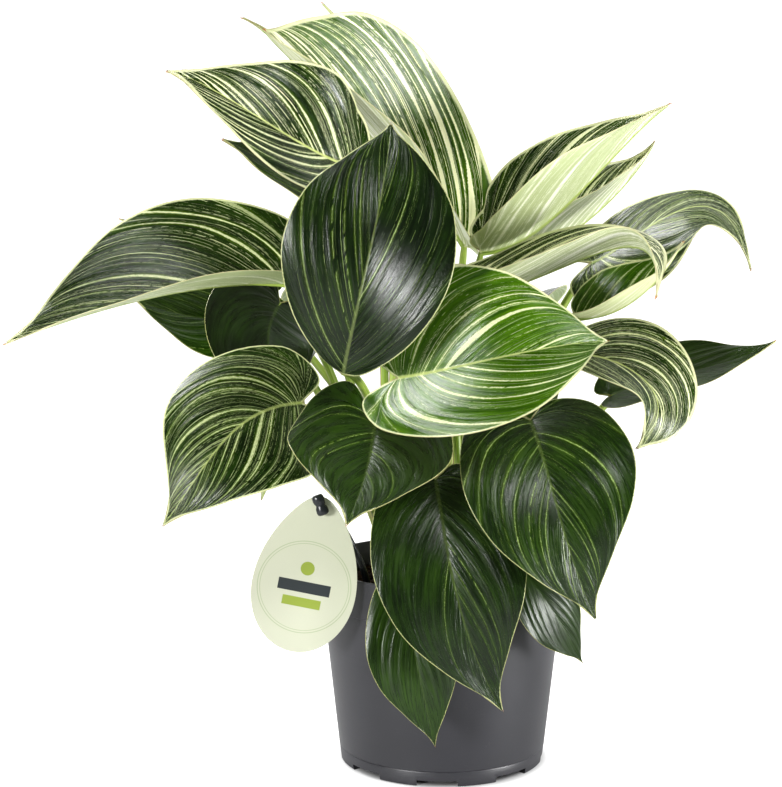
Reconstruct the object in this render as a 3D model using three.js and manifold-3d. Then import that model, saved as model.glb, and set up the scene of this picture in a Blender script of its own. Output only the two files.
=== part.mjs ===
// A potted birkin philodendron: grow pot, soil, four short crowns, their leaves, and a hang tag on
// a stake. Millimetres, +Z up, -Y towards the viewer of the front. Every leaf is laid out flat from
// one outline, then bent along its midrib and across its width, and its stalk is joined to it.

import * as THREE from 'three';
import { mergeVertices } from 'three/addons/utils/BufferGeometryUtils.js';
import Module from 'manifold-3d';

const wasm = await Module();
wasm.setup();
const { Manifold, Mesh: ManifoldMesh, CrossSection } = wasm;

// Driving sizes: a standard 15 cm grow pot.
const POT_RIM_RADIUS = 75;
const POT_HEIGHT = 121;
const POT_FOOT_RADIUS = 61.5;
const POT_WALL = 2;
const RIM_BAND_HEIGHT = 23;
const RIM_BAND_STEP = 1.4;
const FOOT_BAND_HEIGHT = 9;
const FOOT_RING_HEIGHT = 4;
const FOOT_RING_WIDTH = 5;
const FLOOR_THICKNESS = 2;
const NOTCH_COUNT = 8;
const NOTCH_WIDTH = 24;
const NOTCH_HEIGHT = 3.5;
const FIRST_NOTCH = -94;

const CLEARANCE = 0.3;
const SOIL_TOP = 106;
const SOIL_DOME = 2;

// Crowns: centre (x, y) of each stem, the height where it ends, and the side (degrees) where the
// pointed sheath of a fallen leaf is still grown to it.
const STEM_RADIUS = 5;
const STEM_FOOT = 62;
const SHEATH_LENGTH = 50;
const SHEATH_HALF_WIDTH = 4.5;
const SHEATH_THICKNESS = 2.4;
const SHEATH_LEAN = 10;
const CROWNS = [
  { name: 'stem_left', at: [-24, -4], top: 156, sheath: -15 },
  { name: 'stem_front', at: [18, -14], top: 156, sheath: 150 },
  { name: 'stem_back', at: [-4, 26], top: 160, sheath: -60 },
  { name: 'stem_right', at: [30, 16], top: 156, sheath: 160 },
];

// Leaves.
const BLADE_THICKNESS = 0.9;
const STALK_FOOT_RADIUS = 3;
const STALK_TOP_RADIUS = 2.2;
const VEIN_START = 0.36;

// Half of the flat outline: (across in half widths, along in lengths). Values of along below 0 are
// in lobe depths. It runs from the notch where the stalk joins, round the lobe, to the tip.
const HALF_OUTLINE = [
  [0, 0],
  [0.32, -1],
  [0.76, -0.5],
  [1, 0.22],
  [0.86, 0.46],
  [0.46, 0.69],
  [0.12, 0.87],
  [0, 1],
];
// How far the belly value moves each of those points towards the tip.
const BELLY_SHARE = [0, 0, 0.9, 1, 0.9, 0.6, 0.3, 0];

// Values of each leaf, in real sizes:
// spine: four points of the midrib, from the stalk to the tip;
// face: where the upper side looks, from the stalk to the tip;
// half: left and right half width, seen on the upper side with the tip up;
// fold and curl: degrees that each half rises at the midrib, and bends further out to its margin;
// lobe: depth of the basal lobes in lengths; belly: moves the widest place towards the tip;
// crown, attach, turn, lean: which stem, the height on it, the side (degrees) and the outward lean;
// come: the way the stalk runs where it meets the blade.
const LEAVES = [
  {
    name: 'leaf_top', crown: 2, attach: 150, lean: 0.2,
    spine: [[15, 38, 310], [-32, 26, 366], [-77, -16, 409], [-102, -56, 434]],
    face: [[0.63, -0.54, 0.55]],
    half: [54, 60], fold: [45, 50], curl: [0, -8], lobe: 0.05, belly: 0.26,
  },
  {
    name: 'leaf_upper_left', crown: 0, attach: 150, lean: 0.2,
    spine: [[-50, -50, 357], [-83, -72, 372], [-120, -82, 395], [-154, -78, 410]],
    face: [[0.29, -0.8, 0.51]],
    half: [36, 46], fold: [20, 20], curl: [0, 0], lobe: 0.08, belly: 0.05,
  },
  {
    name: 'leaf_front_upright', crown: 0, attach: 136, come: [-0.3, -0.95, 0.1],
    spine: [[-57, -100, 246], [-47, -116, 292], [-37, -112, 338], [-31, -86, 382]],
    face: [[0, -0.9, 0.35]],
    half: [47, 47], fold: [[8, 12], [30, 10]], curl: [[-12, -12], [-20, -14]], lobe: -0.06, belly: 0.22,
  },
  {
    name: 'leaf_left_arch', crown: 0, attach: 140, turn: 200,
    spine: [[-87, -15, 290], [-132, -35, 290], [-184, -60, 281], [-245, -85, 261]],
    face: [[0, -0.53, 0.85]],
    half: [48, 53], fold: [42, 42], curl: [0, 0], lobe: 0.08, belly: 0.08,
  },
  {
    name: 'leaf_left_round', crown: 0, attach: 125,
    spine: [[-82, -52, 224], [-114, -72, 215], [-136, -84, 191], [-159, -82, 158]],
    face: [[-0.15, -0.85, 0.5], [-0.25, -0.9, 0.35]],
    half: [50, 49], fold: [8, 0], curl: [-15, -10], lobe: 0.14, belly: 0.05,
  },
  {
    name: 'leaf_front_heart', crown: 0, attach: 118, lean: 0.7,
    spine: [[-40, -88, 218], [-43, -112, 200], [-48, -136, 186], [-54, -159, 174]],
    face: [[0, -0.6, 0.8], [0, -0.75, 0.6]],
    half: [45, 46], fold: [12, 12], curl: [-12, -12], lobe: 0.3, belly: 0,
  },
  {
    name: 'leaf_front_bright', crown: 1, attach: 140, come: [0.2, -0.95, 0.25],
    spine: [[-27, -84, 242], [8, -103, 251], [48, -107, 260], [89, -87, 263]],
    face: [[-0.1, -0.9, 0.42]],
    half: [54, 48], fold: [24, 24], curl: [-5, -5], lobe: 0.14, belly: 0.1,
  },
  {
    name: 'leaf_right_heart', crown: 1, attach: 122, lean: 0.6,
    spine: [[47, -72, 217], [56, -98, 187], [67, -106, 149], [83, -98, 108]],
    face: [[0.05, -0.93, 0.35], [0.1, -0.98, 0.1]],
    half: [49, 48], fold: [10, 10], curl: [-12, -12], lobe: 0.07, belly: 0.04,
  },
  {
    name: 'leaf_low_pointed', crown: 1, attach: 114, lean: 0.7,
    spine: [[-6, -76, 184], [0, -96, 148], [11, -103, 103], [32, -95, 55]],
    face: [[0, -0.93, 0.36], [0, -1, 0]],
    half: [43, 43], fold: [10, 10], curl: [-12, -12], lobe: 0.05, belly: 0.08,
  },
  {
    name: 'leaf_low_plain', crown: 0, attach: 110, lean: 0.9,
    spine: [[-21, -80, 130], [-19, -90, 98], [-13, -94, 66], [-6, -90, 33]],
    face: [[-0.1, -0.98, 0.2]],
    half: [24, 27], fold: [8, 8], curl: [-8, -8], lobe: 0.05, belly: 0.15,
  },
  {
    name: 'leaf_low_right', crown: 1, attach: 112, lean: 0.9,
    spine: [[37, -70, 137], [56, -75, 115], [70, -68, 92], [80, -58, 73]],
    face: [[0.25, -0.9, 0.3]],
    half: [17, 20], fold: [8, 8], curl: [-8, -8], lobe: 0.05, belly: 0.15,
  },
  {
    name: 'leaf_right_drooping', crown: 3, attach: 122, turn: -44,
    spine: [[69, -20, 248], [99, -45, 246], [119, -61, 228], [107, -70, 200]],
    face: [[-0.1, -0.6, 0.8], [0.4, -0.7, 0.5], [0.7, -0.7, 0.1]],
    half: [38, 29], fold: [8, 20], curl: [0, 0], lobe: 0.1, belly: 0.2,
  },
  {
    name: 'leaf_upper_right', crown: 3, attach: 150, lean: 0.1,
    spine: [[23, 8, 308], [61, 5, 325], [98, 0, 362], [133, -5, 395]],
    face: [[-0.56, -0.37, 0.72]],
    half: [42, 46], fold: [58, 58], curl: [0, 0], lobe: 0.05, belly: 0.1,
  },
  {
    name: 'leaf_behind_upper_right', crown: 3, attach: 142, turn: 78, lean: 0.2,
    spine: [[46, 72, 300], [84, 74, 318], [115, 70, 346], [133, 60, 374]],
    face: [[-0.6, -0.3, 0.75]],
    half: [50, 46], fold: [45, 45], curl: [0, 0], lobe: 0.08, belly: 0,
  },
  {
    name: 'leaf_right_arch_near', crown: 1, attach: 150, lean: 0.1,
    spine: [[3, -18, 289], [51, -27, 294], [101, -44, 313], [116, -76, 285]],
    face: [[0, -0.19, 0.98], [0.1, -0.2, 0.95], [0.9, -0.35, 0.3]],
    half: [34, 38], fold: [28, 28], curl: [0, 0], lobe: 0.05, belly: 0.1,
  },
  {
    name: 'leaf_right_arch_far', crown: 3, attach: 138, turn: 30,
    spine: [[91, 25, 300], [122, 20, 320], [158, 15, 334], [184, 5, 296]],
    face: [[-0.1, -0.35, 0.93], [0.1, -0.3, 0.95], [0.8, -0.4, 0.3]],
    half: [30, 36], fold: [10, [-20, -15, 0]], curl: [0, [-50, -10, 0]], lobe: 0.12, belly: 0,
  },
  {
    name: 'leaf_young_curled', crown: 3, attach: 148, come: [0.5, -0.8, 0.2], turn: -50, lean: 0.15,
    spine: [[76, -30, 272], [96, -42, 276], [117, -46, 291], [136, -40, 316]],
    face: [[-0.5, -0.45, 0.72]],
    half: [24, 24], fold: [50, 50], curl: [0, 0], lobe: 0.04, belly: 0.1,
  },
  {
    name: 'leaf_far_right', crown: 3, attach: 114, turn: 0,
    spine: [[103, 15, 220], [136, 10, 232], [167, 0, 241], [197, -10, 256]],
    face: [[0, -0.55, 0.83]],
    half: [25, 22], fold: [12, 12], curl: [0, 0], lobe: 0.08, belly: 0.1,
  },
  {
    name: 'leaf_between', crown: 1, attach: 132, lean: 0.2, turn: -20,
    spine: [[37, -36, 198], [46, -44, 214], [57, -46, 226], [70, -40, 238]],
    face: [[0, -0.95, 0.3]],
    half: [20, 16], fold: [8, 8], curl: [0, 0], lobe: 0.16, belly: 0,
  },
  {
    name: 'leaf_left_behind', crown: 0, attach: 114, lean: 0.6, turn: 135,
    spine: [[-106, 32, 262], [-134, 24, 265], [-160, 14, 270], [-186, 4, 281]],
    face: [[0, -0.8, 0.6]],
    half: [30, 30], fold: [10, 10], curl: [-10, -10], lobe: 0.16, belly: 0.1,
  },
  {
    name: 'leaf_left_inner', crown: 0, attach: 126, lean: 0.5, turn: 172,
    spine: [[-98, 18, 276], [-104, -4, 258], [-98, -18, 239], [-80, -24, 215]],
    face: [[0.2, -0.93, 0.3]],
    half: [46, 40], fold: [8, 8], curl: [-10, -10], lobe: 0.16, belly: 0,
  },
  {
    name: 'leaf_under_upper_left', crown: 0, attach: 148, turn: 150, lean: 0.2,
    spine: [[-58, -5, 330], [-81, -15, 347], [-106, -22, 362], [-128, -28, 374]],
    face: [[-0.1, -0.6, 0.8]],
    half: [20, 26], fold: [12, 12], curl: [0, 0], lobe: 0.16, belly: 0.1,
  },
  {
    name: 'leaf_behind_left_arch', crown: 2, attach: 130,
    spine: [[-117, 62, 283], [-144, 58, 300], [-171, 52, 315], [-199, 46, 326]],
    face: [[-0.1, -0.6, 0.8]],
    half: [24, 24], fold: [12, 12], curl: [0, 0], lobe: 0.16, belly: 0,
  },
  {
    name: 'leaf_rolled_left', crown: 2, attach: 156, turn: 170, lean: 0.1,
    spine: [[-32, 52, 362], [-68, 40, 395], [-94, 24, 426], [-120, 14, 446]],
    face: [[0.5, -0.5, 0.7]],
    half: [16, 16], fold: [60, 60], curl: [0, 0], lobe: 0.02, belly: 0,
  },
  {
    name: 'leaf_rolled_top', crown: 2, attach: 152, turn: 95, lean: 0.1,
    spine: [[-7, 64, 344], [-25, 60, 386], [-50, 50, 428], [-73, 32, 456]],
    face: [[0.5, -0.5, 0.7]],
    half: [14, 14], fold: [60, 60], curl: [0, 0], lobe: 0.02, belly: 0,
  },
  {
    name: 'leaf_back_centre', crown: 2, attach: 136, turn: 55,
    spine: [[30, 80, 246], [42, 108, 268], [54, 145, 260], [60, 180, 226]],
    face: [[0, 0.3, 0.95], [0.2, 0.8, 0.5]],
    half: [45, 45], fold: [15, 15], curl: [-10, -10], lobe: 0.16, belly: 0,
  },
  {
    name: 'leaf_back_left', crown: 2, attach: 140, turn: 140,
    spine: [[-34, 54, 262], [-58, 94, 274], [-80, 132, 254], [-96, 160, 214]],
    face: [[-0.2, 0.3, 0.95], [-0.4, 0.8, 0.5]],
    half: [45, 45], fold: [15, 15], curl: [-10, -10], lobe: 0.16, belly: 0,
  },
  {
    name: 'leaf_back_right_low', crown: 3, attach: 112, turn: 62,
    spine: [[62, 52, 182], [82, 72, 192], [100, 95, 178], [108, 112, 150]],
    face: [[0.2, 0.2, 0.95], [0.6, 0.4, 0.6]],
    half: [36, 36], fold: [15, 15], curl: [-10, -10], lobe: 0.16, belly: 0,
  },
  {
    name: 'leaf_back_left_low', crown: 2, attach: 116, turn: 165,
    spine: [[-55, 56, 178], [-80, 80, 184], [-101, 100, 170], [-118, 118, 136]],
    face: [[-0.2, 0.2, 0.95], [-0.6, 0.4, 0.6]],
    half: [42, 42], fold: [15, 15], curl: [-10, -10], lobe: 0.16, belly: 0,
  },
  {
    name: 'leaf_back_low', crown: 2, attach: 118, turn: 95,
    spine: [[5, 75, 180], [5, 108, 185], [5, 140, 160], [5, 160, 120]],
    face: [[0, 0.3, 0.95], [0, 0.9, 0.3]],
    half: [40, 40], fold: [15, 15], curl: [-10, -10], lobe: 0.16, belly: 0,
  },
];

// Hang tag and its stake.
const TAG_CENTRE = new THREE.Vector3(-81, -64, 118);
const TAG_HOLE_CENTRE = new THREE.Vector3(-71, -64, 168);
const TAG_THICKNESS = 1;
const TAG_HALF_WIDTH = 30;
const TAG_BELOW = 37;
const TAG_ABOVE = 55;
const TAG_HOLE_RADIUS = 2.6;
const STAKE_RADIUS = 2;
const STAKE_HEAD_RADIUS = 3.8;
const STAKE_PATH = [
  [-71, -59, 168],
  [-66, -57, 163],
  [-56, -54, 147],
  [-46, -46, 122],
  [-41, -41, 90],
];

const vec = (point) => new THREE.Vector3(...point);
const radians = THREE.MathUtils.degToRad;

// Plain list of values, or one value, read at a place from 0 to 1.
function along(value, place) {
  if (!Array.isArray(value)) return value;
  const last = value.length - 1;
  const scaled = THREE.MathUtils.clamp(place, 0, 1) * last;
  const index = Math.min(Math.floor(scaled), last - 1);
  return THREE.MathUtils.lerp(value[index], value[index + 1], scaled - index);
}

// Half outline as a Catmull-Rom curve through its points, at a place from 0 (notch) to 1 (tip).
function outlineAt(leaf, place) {
  const points = HALF_OUTLINE.map(([across, length], i) => [
    across,
    (length < 0 ? length * leaf.lobe : length) + leaf.belly * BELLY_SHARE[i],
  ]);
  const last = points.length - 1;
  const before = points[1].map((value, axis) => 2 * points[0][axis] - value);
  const after = points[last - 1].map((value, axis) => 2 * points[last][axis] - value);
  const all = [before, ...points, after];
  const scaled = place * last;
  const i = Math.min(Math.floor(scaled), last - 1);
  const f = scaled - i;
  const [a, b, c, d] = all.slice(i, i + 4);
  const point = [0, 1].map((axis) => 0.5 * (
    2 * b[axis] + (c[axis] - a[axis]) * f
    + (2 * a[axis] - 5 * b[axis] + 4 * c[axis] - d[axis]) * f * f
    + (3 * b[axis] - a[axis] - 3 * c[axis] + d[axis]) * f * f * f
  ));
  return [Math.max(point[0], 0), point[1]];
}

// The midrib is the cubic curve through the four spine points.
class Spine {
  constructor(points) {
    const [p0, p1, p2, p3] = points.map(vec);
    const control = (a, b, c, d) => new THREE.Vector3()
      .addScaledVector(a, -5 / 6).addScaledVector(b, 3)
      .addScaledVector(c, -1.5).addScaledVector(d, 1 / 3);
    this.curve = new THREE.CubicBezierCurve3(p0, control(p0, p1, p2, p3), control(p3, p2, p1, p0), p3);
    this.curve.arcLengthDivisions = 80;
    this.length = this.curve.getLength();
  }

  // Point and direction at a distance from the stalk; before the stalk it runs on straight.
  at(distance) {
    const inside = THREE.MathUtils.clamp(distance, 0, this.length);
    const place = inside / this.length;
    const tangent = this.curve.getTangentAt(place);
    const point = this.curve.getPointAt(place).addScaledVector(tangent, distance - inside);
    return { point, tangent };
  }
}

// Point, tangent, upper normal and side of a leaf at a distance along its midrib.
function frameAt(leaf, distance) {
  const { point, tangent } = leaf.line.at(distance);
  const place = THREE.MathUtils.clamp(distance / leaf.line.length, 0, 1);
  const last = leaf.face.length - 1;
  const index = Math.min(Math.floor(place * last), Math.max(last - 1, 0));
  const from = vec(leaf.face[index]).normalize();
  const to = vec(leaf.face[Math.min(index + 1, last)]).normalize();
  const face = from.lerp(to, place * last - index);
  const normal = face.addScaledVector(tangent, -face.dot(tangent)).normalize();
  const side = new THREE.Vector3().crossVectors(tangent, normal);
  return { point, tangent, normal, side };
}

// A flat point (across, length) of the blade, on side 0 (left) or 1 (right), bent into place.
function bend(leaf, sideIndex, across, length) {
  const { point, tangent, normal, side } = frameAt(leaf, length);
  const place = length / leaf.line.length;
  const sign = sideIndex === 1 ? 1 : -1;
  const fold = radians(along(leaf.fold[sideIndex], place));
  const turn = radians(along(leaf.curl[sideIndex], place)) / Math.max(...leaf.half);
  const end = fold + turn * across;
  const flat = Math.abs(turn) < 1e-6;
  const out = flat ? across * Math.cos(fold) : (Math.sin(end) - Math.sin(fold)) / turn;
  const up = flat ? across * Math.sin(fold) : (Math.cos(fold) - Math.cos(end)) / turn;
  const place3d = point.addScaledVector(side, sign * out).addScaledVector(normal, up);
  return { place3d, tangent, normal, side };
}

// Flat place of the vein that ends at margin place m, at share t of the way out from the midrib.
function veinPoint(leaf, sideIndex, m, t) {
  const [across, length] = outlineAt(leaf, m);
  const start = m <= VEIN_START ? 0 : 0.985 * ((m - VEIN_START) / (1 - VEIN_START)) ** 1.25;
  const middle = [0.62 * across, start + 0.36 * (length - start)];
  const mix = (a, b, c) => (1 - t) ** 2 * a + 2 * (1 - t) * t * b + t * t * c;
  return [
    mix(0, middle[0], across) * leaf.half[sideIndex],
    mix(start, middle[1], length) * leaf.line.length,
  ];
}

function solid(points, triangles) {
  const geometry = new THREE.BufferGeometry();
  geometry.setAttribute('position', new THREE.Float32BufferAttribute(points.flatMap((p) => p.toArray()), 3));
  geometry.setIndex(triangles.flat());
  const merged = mergeVertices(geometry, 1e-3);
  const index = Array.from(merged.getIndex().array);
  const kept = [];
  for (let i = 0; i < index.length; i += 3) {
    const [a, b, c] = index.slice(i, i + 3);
    if (a !== b && b !== c && c !== a) kept.push(a, b, c);
  }
  return new Manifold(new ManifoldMesh({
    numProp: 3,
    vertProperties: new Float32Array(merged.getAttribute('position').array),
    triVerts: new Uint32Array(kept),
  }));
}

// The blade: a grid of veins by steps across, split alike on its upper and lower face.
function blade(leaf, veins, steps) {
  const points = [];
  const triangles = [];
  const halfThickness = BLADE_THICKNESS / 2;
  for (const sideIndex of [0, 1]) {
    const first = points.length;
    const sheet = (veins + 1) * (steps + 1);
    const upper = [];
    const lower = [];
    for (let i = 0; i <= veins; i += 1) {
      for (let j = 0; j <= steps; j += 1) {
        const [across, length] = veinPoint(leaf, sideIndex, i / veins, j / steps);
        const here = bend(leaf, sideIndex, across, length);
        let normal = here.normal.clone();
        let reach = halfThickness;
        if (j === 0 || across < 1e-6) {
          const fold = Math.max(...[0, 1].map((s) => along(leaf.fold[s], length / leaf.line.length)));
          reach /= Math.cos(radians(THREE.MathUtils.clamp(fold, 0, 60)));
        } else {
          const outward = bend(leaf, sideIndex, across + 0.5, length).place3d.sub(here.place3d);
          const forward = bend(leaf, sideIndex, across, length + 0.5).place3d.sub(here.place3d);
          normal = new THREE.Vector3().crossVectors(forward, outward).normalize();
          if (normal.dot(here.normal) < 0) normal.negate();
        }
        upper.push(here.place3d.clone().addScaledVector(normal, reach));
        lower.push(here.place3d.clone().addScaledVector(normal, -reach));
      }
    }
    points.push(...upper, ...lower);
    const turned = sideIndex === 0 ? (t) => t : ([a, b, c]) => [a, c, b];
    for (let i = 0; i < veins; i += 1) {
      for (let j = 0; j < steps; j += 1) {
        const a = first + i * (steps + 1) + j;
        const [b, c, d] = [a + steps + 1, a + steps + 2, a + 1];
        triangles.push(turned([a, b, c]), turned([a, c, d]));
        triangles.push(turned([a + sheet, c + sheet, b + sheet]), turned([a + sheet, d + sheet, c + sheet]));
      }
      const edge = first + i * (steps + 1) + steps;
      const next = edge + steps + 1;
      triangles.push(turned([edge, next, next + sheet]), turned([edge, next + sheet, edge + sheet]));
    }
  }
  const turnedOut = solid(points, triangles);
  if (turnedOut.volume() > 0) return turnedOut;
  return solid(points, triangles.map(([a, b, c]) => [a, c, b]));
}

// A rod of the given radii along a list of points, its rings carried along without twist.
function rod(path, radiusAt, sides) {
  const points = [];
  const triangles = [];
  let across = null;
  path.forEach((point, i) => {
    const before = path[Math.max(i - 1, 0)];
    const after = path[Math.min(i + 1, path.length - 1)];
    const forward = after.clone().sub(before).normalize();
    const guide = across ?? (Math.abs(forward.y) < 0.8 ? vec([0, 1, 0]) : vec([1, 0, 0]));
    across = guide.clone().addScaledVector(forward, -guide.dot(forward)).normalize();
    const other = new THREE.Vector3().crossVectors(forward, across);
    const radius = radiusAt(i / (path.length - 1));
    for (let k = 0; k < sides; k += 1) {
      const angle = (k / sides) * 2 * Math.PI;
      points.push(point.clone()
        .addScaledVector(across, radius * Math.cos(angle))
        .addScaledVector(other, radius * Math.sin(angle)));
    }
  });
  for (let i = 0; i + 1 < path.length; i += 1) {
    for (let k = 0; k < sides; k += 1) {
      const [a, b] = [i * sides + k, i * sides + ((k + 1) % sides)];
      triangles.push([a, b, b + sides], [a, b + sides, a + sides]);
    }
  }
  const last = (path.length - 1) * sides;
  for (let k = 1; k + 1 < sides; k += 1) {
    triangles.push([0, k + 1, k], [last, last + k, last + k + 1]);
  }
  return solid(points, triangles);
}

// The stalk leaves its crown beside the stem and reaches the blade from behind.
function stalkPath(leaf, count) {
  const [x, y] = CROWNS[leaf.crown].at;
  const { point: base, tangent, normal } = frameAt(leaf, 0);
  base.addScaledVector(normal, -STALK_TOP_RADIUS * 0.8);
  const angle = leaf.turn === undefined ? Math.atan2(base.y - y, base.x - x) : radians(leaf.turn);
  const out = vec([Math.cos(angle), Math.sin(angle), 0]);
  const lean = leaf.lean ?? 0.45;
  const foot = vec([x, y, leaf.attach]).addScaledVector(out, STEM_RADIUS + 2);
  const reach = base.distanceTo(foot);
  const rise = out.clone().multiplyScalar(lean).add(vec([0, 0, 1])).normalize();
  const come = leaf.come
    ? vec(leaf.come).normalize()
    : tangent.clone().multiplyScalar(0.5).addScaledVector(out, 0.5).add(vec([0, 0, 0.8])).normalize();
  const curve = new THREE.CubicBezierCurve3(
    foot,
    foot.clone().addScaledVector(rise, reach * 0.38),
    base.clone().addScaledVector(come, -reach * 0.35),
    base,
  );
  return curve.getPoints(count);
}

// The rib under the blade carries the stalk on for a fifth of the midrib.
function ribPath(leaf) {
  return [0, 0.1, 0.2].map((share) => {
    const { point, normal } = frameAt(leaf, share * leaf.line.length);
    return point.addScaledVector(normal, -STALK_TOP_RADIUS * 0.8 * (1 - 3.5 * share));
  });
}

function leafSolid(leaf) {
  const large = Math.max(...leaf.half) > 35;
  const plate = blade(leaf, large ? 10 : 7, large ? 3 : 2);
  const thin = (share) => THREE.MathUtils.lerp(STALK_FOOT_RADIUS, STALK_TOP_RADIUS, share);
  const stalk = rod(stalkPath(leaf, 7), thin, 5);
  const rib = rod(ribPath(leaf), (share) => STALK_TOP_RADIUS * (1 - 0.6 * share), 5);
  const { at, top } = CROWNS[leaf.crown];
  const room = Manifold.cylinder(top + 2, STEM_RADIUS + CLEARANCE, STEM_RADIUS + CLEARANCE, 24)
    .translate([at[0], at[1], 0]);
  return plate.add(stalk).add(rib).subtract(room);
}

// Round solid from a profile of (radius, height) points that starts and ends on the axis.
function lathe(profile, segments) {
  return Manifold.revolve(new CrossSection([profile]), segments);
}

function potSolid() {
  const bandFoot = POT_HEIGHT - RIM_BAND_HEIGHT;
  const wallTop = POT_RIM_RADIUS - 1.3 - RIM_BAND_STEP;
  const shell = lathe([
    [0, 0],
    [POT_FOOT_RADIUS, 0],
    [POT_FOOT_RADIUS + 1.3, FOOT_BAND_HEIGHT],
    [POT_FOOT_RADIUS + 0.6, FOOT_BAND_HEIGHT + 0.6],
    [wallTop, bandFoot],
    [POT_RIM_RADIUS - 1.3, bandFoot + 0.8],
    [POT_RIM_RADIUS, POT_HEIGHT - 1],
    [POT_RIM_RADIUS - 0.6, POT_HEIGHT],
    [0, POT_HEIGHT],
  ], 44);
  const floorTop = FOOT_RING_HEIGHT + FLOOR_THICKNESS;
  const inside = lathe([
    [0, floorTop],
    [POT_FOOT_RADIUS - 1.5, floorTop],
    [wallTop - POT_WALL, bandFoot],
    [POT_RIM_RADIUS - 2.2, POT_HEIGHT + 1],
    [0, POT_HEIGHT + 1],
  ], 44);
  const underFloor = Manifold.cylinder(
    FOOT_RING_HEIGHT + 1,
    POT_FOOT_RADIUS - FOOT_RING_WIDTH,
    POT_FOOT_RADIUS - FOOT_RING_WIDTH,
    44,
  ).translate([0, 0, -1]);
  let pot = shell.subtract(inside).subtract(underFloor);
  for (let i = 0; i < NOTCH_COUNT; i += 1) {
    const notch = Manifold.cube([20, NOTCH_WIDTH, NOTCH_HEIGHT + 1], true)
      .translate([POT_FOOT_RADIUS, 0, (NOTCH_HEIGHT - 1) / 2])
      .rotate([0, 0, FIRST_NOTCH + (i * 360) / NOTCH_COUNT]);
    const drain = Manifold.cylinder(floorTop + 2, 4, 4, 12)
      .translate([POT_FOOT_RADIUS - 12, 0, -1])
      .rotate([0, 0, FIRST_NOTCH + (i * 360) / NOTCH_COUNT]);
    pot = pot.subtract(notch).subtract(drain);
  }
  return pot;
}

function soilSolid(standing) {
  const floorTop = FOOT_RING_HEIGHT + FLOOR_THICKNESS;
  const bandFoot = POT_HEIGHT - RIM_BAND_HEIGHT;
  const wallTop = POT_RIM_RADIUS - 1.3 - RIM_BAND_STEP - POT_WALL;
  const soil = lathe([
    [0, floorTop + 0.1],
    [POT_FOOT_RADIUS - 1.5 - CLEARANCE, floorTop + 0.1],
    [wallTop - CLEARANCE, bandFoot],
    [wallTop + 0.2 - CLEARANCE, SOIL_TOP - 1],
    [48, SOIL_TOP + SOIL_DOME],
    [0, SOIL_TOP + SOIL_DOME],
  ], 48);
  return standing.reduce((left, hole) => left.subtract(hole), soil);
}

function stemSolid(crown, extra, foot) {
  const height = crown.top - foot;
  return Manifold.cylinder(height, STEM_RADIUS + extra, STEM_RADIUS + extra, 12)
    .translate([crown.at[0], crown.at[1], foot]);
}

// The crown's stem with its sheath, which is wide at its foot and leans away from the stem.
function crownSolid(crown) {
  const sheath = Manifold.cylinder(SHEATH_LENGTH, SHEATH_HALF_WIDTH, 0.6, 8)
    .scale([SHEATH_THICKNESS / (2 * SHEATH_HALF_WIDTH), 1, 1])
    .rotate([0, SHEATH_LEAN, 0])
    .translate([STEM_RADIUS - 0.6, 0, 0])
    .rotate([0, 0, crown.sheath])
    .translate([crown.at[0], crown.at[1], SOIL_TOP + SOIL_DOME + 3]);
  return stemSolid(crown, 0, STEM_FOOT).add(sheath);
}

// Egg-shaped card: half an ellipse below, a taller one narrowing to the hole above.
function tagOutline() {
  const points = [];
  const count = 40;
  for (let i = 0; i < count; i += 1) {
    const angle = (i / count) * 2 * Math.PI;
    const height = Math.cos(angle);
    const narrowing = height > 0 ? 1 - 0.28 * height * height : 1;
    points.push([
      -TAG_HALF_WIDTH * Math.sin(angle) * narrowing,
      height * (height > 0 ? TAG_ABOVE : TAG_BELOW),
    ]);
  }
  return points;
}

function tagSolid() {
  const lean = THREE.MathUtils.radToDeg(Math.atan2(
    TAG_HOLE_CENTRE.x - TAG_CENTRE.x,
    TAG_HOLE_CENTRE.z - TAG_CENTRE.z,
  ));
  return Manifold.extrude(new CrossSection([tagOutline()]), TAG_THICKNESS)
    .rotate([90, 0, 0])
    .rotate([0, lean, 0])
    .translate([TAG_CENTRE.x, TAG_CENTRE.y + TAG_THICKNESS / 2, TAG_CENTRE.z])
    .subtract(Manifold.cylinder(20, TAG_HOLE_RADIUS, TAG_HOLE_RADIUS, 20, true)
      .rotate([90, 0, 0])
      .translate(TAG_HOLE_CENTRE.toArray()));
}

function stakeSolid() {
  const route = new THREE.CatmullRomCurve3(STAKE_PATH.map(vec));
  const rodPart = rod(route.getPoints(14), () => STAKE_RADIUS, 8);
  const neck = Manifold.cylinder(12, STAKE_RADIUS, STAKE_RADIUS, 12, true)
    .rotate([90, 0, 0])
    .translate([TAG_HOLE_CENTRE.x, TAG_HOLE_CENTRE.y, TAG_HOLE_CENTRE.z]);
  const head = Manifold.sphere(STAKE_HEAD_RADIUS, 12)
    .scale([1, 0.75, 1.6])
    .rotate([0, -25, 0])
    .translate([TAG_HOLE_CENTRE.x, TAG_HOLE_CENTRE.y - 5, TAG_HOLE_CENTRE.z]);
  return rodPart.add(neck).add(head);
}

function stakeHole() {
  const route = new THREE.CatmullRomCurve3(STAKE_PATH.map(vec));
  const foot = route.getPoints(14);
  foot.push(foot[14].clone().add(foot[14].clone().sub(foot[13])));
  return rod(foot, () => STAKE_RADIUS + CLEARANCE, 8);
}

const COLOURS = {
  pot: 0x4b4b50,
  soil: 0x2a1d14,
  stem: 0x8a8a4a,
  leaf: 0x2f5a2a,
  tag: 0xe9eee1,
  stake: 0x2d2f34,
};

const group = new THREE.Group();

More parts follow.
